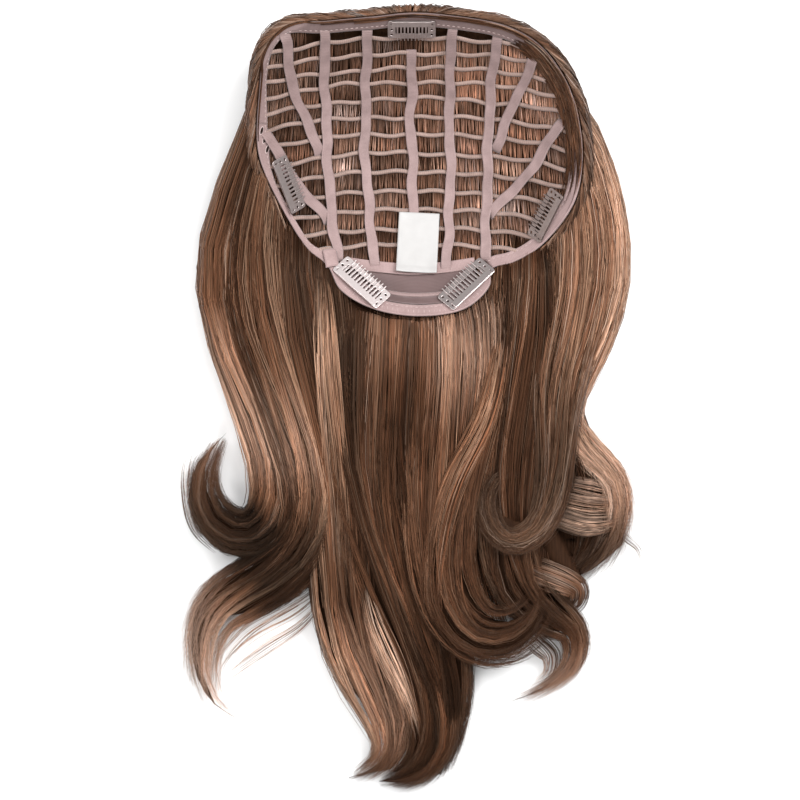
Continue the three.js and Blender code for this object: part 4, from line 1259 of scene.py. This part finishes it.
# How light each cell's hair is painted along it: painted shade under the track above it, then a painted
# highlight.
CELL_LIGHT = (0.5, 1.2, 0.8)
WEFT_FADE = (1.35, 1.42, 1.65)
CELLS_LEFT = -100 * MM
HAIR_OVERLAP = 7 * MM
FRONT_ROW = 12 * MM
BAND_WIDE = 13 * MM
PATCH_WIDE = 26 * MM

# How light the rows are painted from side to side, by place in millimetres: painted light and shade across
# the bowl.
LIT_AT = (-98, -40, 0, 35, 75, 108)
LIT = (0.7, 0.85, 1.0, 1.35, 1.4, 0.95)

paths, tints = [], []
for row in range(WEFT_COUNT + 1):
    x = np.linspace(LIT_AT[0], LIT_AT[-1], CELL_STRANDS) * MM + rng.normal(0, 0.3 * MM, CELL_STRANDS)
    start = weft_route(max(row, 1), x)
    if row == 0:
        start[:, 1] += FRONT_ROW
    share = np.linspace(0, 1, CELL_POINTS)
    lean = (x - CAP_MIDDLE[0]) / CAP_SIDE * 1.2 * MM + rng.normal(0, 0.9 * MM, CELL_STRANDS)
    drop = (WEFT_PITCH + HAIR_OVERLAP) * rng.uniform(0.8, 1.05, CELL_STRANDS)
    plan = start[:, None] + np.stack([lean[:, None] * share, -drop[:, None] * share], -1)
    level = -(0.35 + 0.6 * rng.random(CELL_STRANDS))[:, None] * MM - 0.5 * MM * share
    within = (rim_margin(plan) - tape_wide(plan)).min(1) > -3.0 * MM
    from_left = x - CELLS_LEFT
    band = np.clip((from_left / BAND_WIDE + rng.normal(0, 0.25, CELL_STRANDS)).astype(int), 0, 20)
    cell = fibre_tints(CELL_STRANDS, CELL_POINTS, CELL_MIX, band, CELL_LIGHT, apart=0.25)
    patch = rng.uniform(0.72, 1.3, 9)[(from_left / PATCH_WIDE).astype(int).clip(0, 8)]
    cell *= (patch * np.interp(x / MM, LIT_AT, LIT))[:, None, None]
    paths.append(on_cap(plan, level)[within])
    tints.append(cell[within] * WEFT_FADE)
path = np.concatenate(paths)
strands("weft_hair", path, CELL_THICK * rng.uniform(0.7, 1.2, len(path)), np.concatenate(tints))


# The crown hair: the hair on the outside of the cap. It leaves the rim, is swept along it, turns down
# over the outside of the bowl and runs under it or back towards the side falls.
CROWN_STRANDS = 1000
CROWN_POINTS = 8
CROWN_THICK = STRAND_THICK * 1.45
CROWN_MIX = (0.26, 0.36, 0.22, 0.14, 0.01, 0.01)
CROWN_FADE = (0.95, 1.1, 1.3)
CROWN_ALONG = (-7.6, 8.2)
CROWN_FRONT = 1.4
CROWN_TUFTS = 5

# How far out the mound of hair reaches, by share of the bowl's height.
MOUND_SHARE = (0, 0.12, 0.35, 0.65, 0.9, 1.02, 1.05)
MOUND_GROW = (0.76, 0.91, 1.02, 1.07, 1.06, 1.035, 1.012)

# Most start all round, by place along the rim's points, and the rest near the middle of the front.
all_round = rng.random(CROWN_STRANDS) < 0.7
round_start = rng.uniform(*CROWN_ALONG, CROWN_STRANDS)
start = np.where(all_round, round_start, rng.normal(0, CROWN_FRONT, CROWN_STRANDS))
down = np.linspace(0, 1, CROWN_POINTS)
swept = np.sign(start) * rng.uniform(1.3, 3.2, CROWN_STRANDS) * np.clip(np.abs(start) / 2.8, 0, 1)
swept += rng.normal(0, 0.25, CROWN_STRANDS)
along_rim = (start[:, None] + swept[:, None] * down**0.8) / len(RIM) % 1
plan = through(RIM, along_rim.ravel(), closed=True).reshape(CROWN_STRANDS, CROWN_POINTS, 2)
share = np.maximum(1.05 - down**1.5 * (1.04 + 0.1 * rng.random((CROWN_STRANDS, 1))), 0)
grow = np.interp(share, MOUND_SHARE, MOUND_GROW)
outward = unit(plan - CAP_MIDDLE)
height = cap_height(plan[..., 0], plan[..., 1]) * np.minimum(share, 1.0)
plan = CAP_MIDDLE + (plan - CAP_MIDDLE) * grow[..., None]
stray = rng.uniform(-0.3, 1.2, (CROWN_STRANDS, 1)) + 0.9 * (rng.random((CROWN_STRANDS, 1)) < 0.08)
plan += outward * (stray * MM * np.minimum(down * 6, 1))[..., None]
path = np.stack([plan[..., 0], plan[..., 1], np.maximum(height, 0.4 * MM)], -1)
tuft = ((start + 1 - CROWN_ALONG[0]) * CROWN_TUFTS).astype(int).clip(0)
strands(
    "crown_hair", path, CROWN_THICK * rng.uniform(0.75, 1.25, CROWN_STRANDS),
    fibre_tints(CROWN_STRANDS, CROWN_POINTS, CROWN_MIX, tuft) * CROWN_FADE)


# The rim hair: strands that lie along the rim. They cover the outer edge of the tape all round,
# and at the right a dark sheet of them falls over the whole tape.
RIM_STRANDS = 620
RIM_POINTS = 8
RIM_THICK = STRAND_THICK * 1.4
RIM_MIX = (0.68, 0.24, 0.06, 0.02, 0.0, 0.0)
RIM_LIGHT = (0.85, 0.9, 0.85)
RIM_TUFTS = 6
SHEET_STRANDS = 330

# Places along the rim's points where the hair starts at the left, and where the dark sheet starts and ends.
RIM_FROM = -6.2
SHEET_FROM = 2.3
SHEET_TO = 5.6

start = np.concatenate([
    rng.uniform(SHEET_FROM, SHEET_TO, SHEET_STRANDS),
    rng.uniform(RIM_FROM, SHEET_FROM, RIM_STRANDS - SHEET_STRANDS)])
t = (start[:, None] + np.linspace(0, 1, RIM_POINTS) * rng.uniform(0.7, 1.7, (RIM_STRANDS, 1))) / len(RIM)
sheet = (start > SHEET_FROM)[:, None]
front = (np.abs(start) < SHEET_FROM)[:, None]

# How far inside the rim each strand lies, in millimetres.
outermost = np.where(sheet, -1.5, -4.2)
reach = np.where(sheet, 10.0, np.where(front, 6.2, 4.4))
inward = outermost + reach * rng.random((RIM_STRANDS, 1))
inward = inward + rng.normal(0, np.where(sheet, 1.2, 0.2)) * np.linspace(-1, 1, RIM_POINTS)
plan = through(RIM, t.ravel() % 1, closed=True).reshape(RIM_STRANDS, RIM_POINTS, 2)
inner_way = unit(CAP_MIDDLE - plan)
over = np.maximum(-inward, 0)[..., None] * MM
plan += inner_way * np.maximum(inward, 0)[..., None] * MM
path = on_cap(plan, rng.uniform(0.9, 1.6, (RIM_STRANDS, 1)) * MM * np.ones(RIM_POINTS))
path += np.concatenate([-inner_way * over * 0.7, -over * 1.1], -1)
tuft = ((start - RIM_FROM) * RIM_TUFTS).astype(int)
strands(
    "rim_hair", path, RIM_THICK * rng.uniform(0.75, 1.25, RIM_STRANDS),
    fibre_tints(RIM_STRANDS, RIM_POINTS, RIM_MIX, tuft, RIM_LIGHT))


# The studio: a plain pale floor that the object lies on, and large soft lights around it.
# The camera hangs over it and looks straight down.
VIEW_WIDE = 504 * MM
VIEW_MIDDLE = (-6.3 * MM, -0.6 * MM)
CAMERA_HIGH = 2.6
SUBJECT_HIGH = 0.03
FLOOR_HALF = 6
FLOOR_DROP = 0.2 * MM
SKY_STRENGTH = 0.40

floor_finish, shade = new_finish("pale floor")
grain = shade.mottle(3.0)
shine(floor_finish, {"Base Color": grain.mix((0.92, 0.92, 0.92, 1), (0.95, 0.95, 0.95, 1)), "Roughness": 0.9})
bm = bmesh.new()
bmesh.ops.create_grid(bm, x_segments=1, y_segments=1, size=FLOOR_HALF)
mesh = bpy.data.meshes.new("floor")
bm.to_mesh(mesh)
bm.free()
floor = bpy.data.objects.new("floor", mesh)
bpy.context.collection.objects.link(floor)
mesh.materials.append(floor_finish)
floor.location.z = -FLOOR_DROP

# Each light: its place, size across in metres, and power in watts. All point at the object.
LIGHTS = {
    "key_right": ((0.95, 0.75, 1.6), 1.1, 44),
    "overhead": ((-0.2, 0.4, 2.0), 1.0, 18),
    "near_soft": ((-0.3, -1.3, 1.5), 0.8, 12),
    "left_soft": ((-1.5, 0.3, 1.1), 0.9, 12),
}
for name, (place, size, power) in LIGHTS.items():
    lamp = bpy.data.lights.new(name, "AREA")
    lamp.size = size
    lamp.energy = power
    light = bpy.data.objects.new(name, lamp)
    light.location = place
    light.rotation_euler = (-Vector(place)).to_track_quat("-Z", "Y").to_euler()
    bpy.context.collection.objects.link(light)

world = bpy.data.worlds.new("studio")
bpy.context.scene.world = world
world.use_nodes = True
sky = world.node_tree.nodes["Background"].inputs
sky["Color"].default_value = (1, 1, 1, 1)
sky["Strength"].default_value = SKY_STRENGTH
bpy.context.scene.view_settings.view_transform = "Standard"

lens = bpy.data.cameras.new("camera")
lens.sensor_width = 36
lens.lens = lens.sensor_width * (CAMERA_HIGH - SUBJECT_HIGH) / VIEW_WIDE
camera = bpy.data.objects.new("camera", lens)
camera.location = (*VIEW_MIDDLE, CAMERA_HIGH)
bpy.context.collection.objects.link(camera)
bpy.context.scene.camera = camera
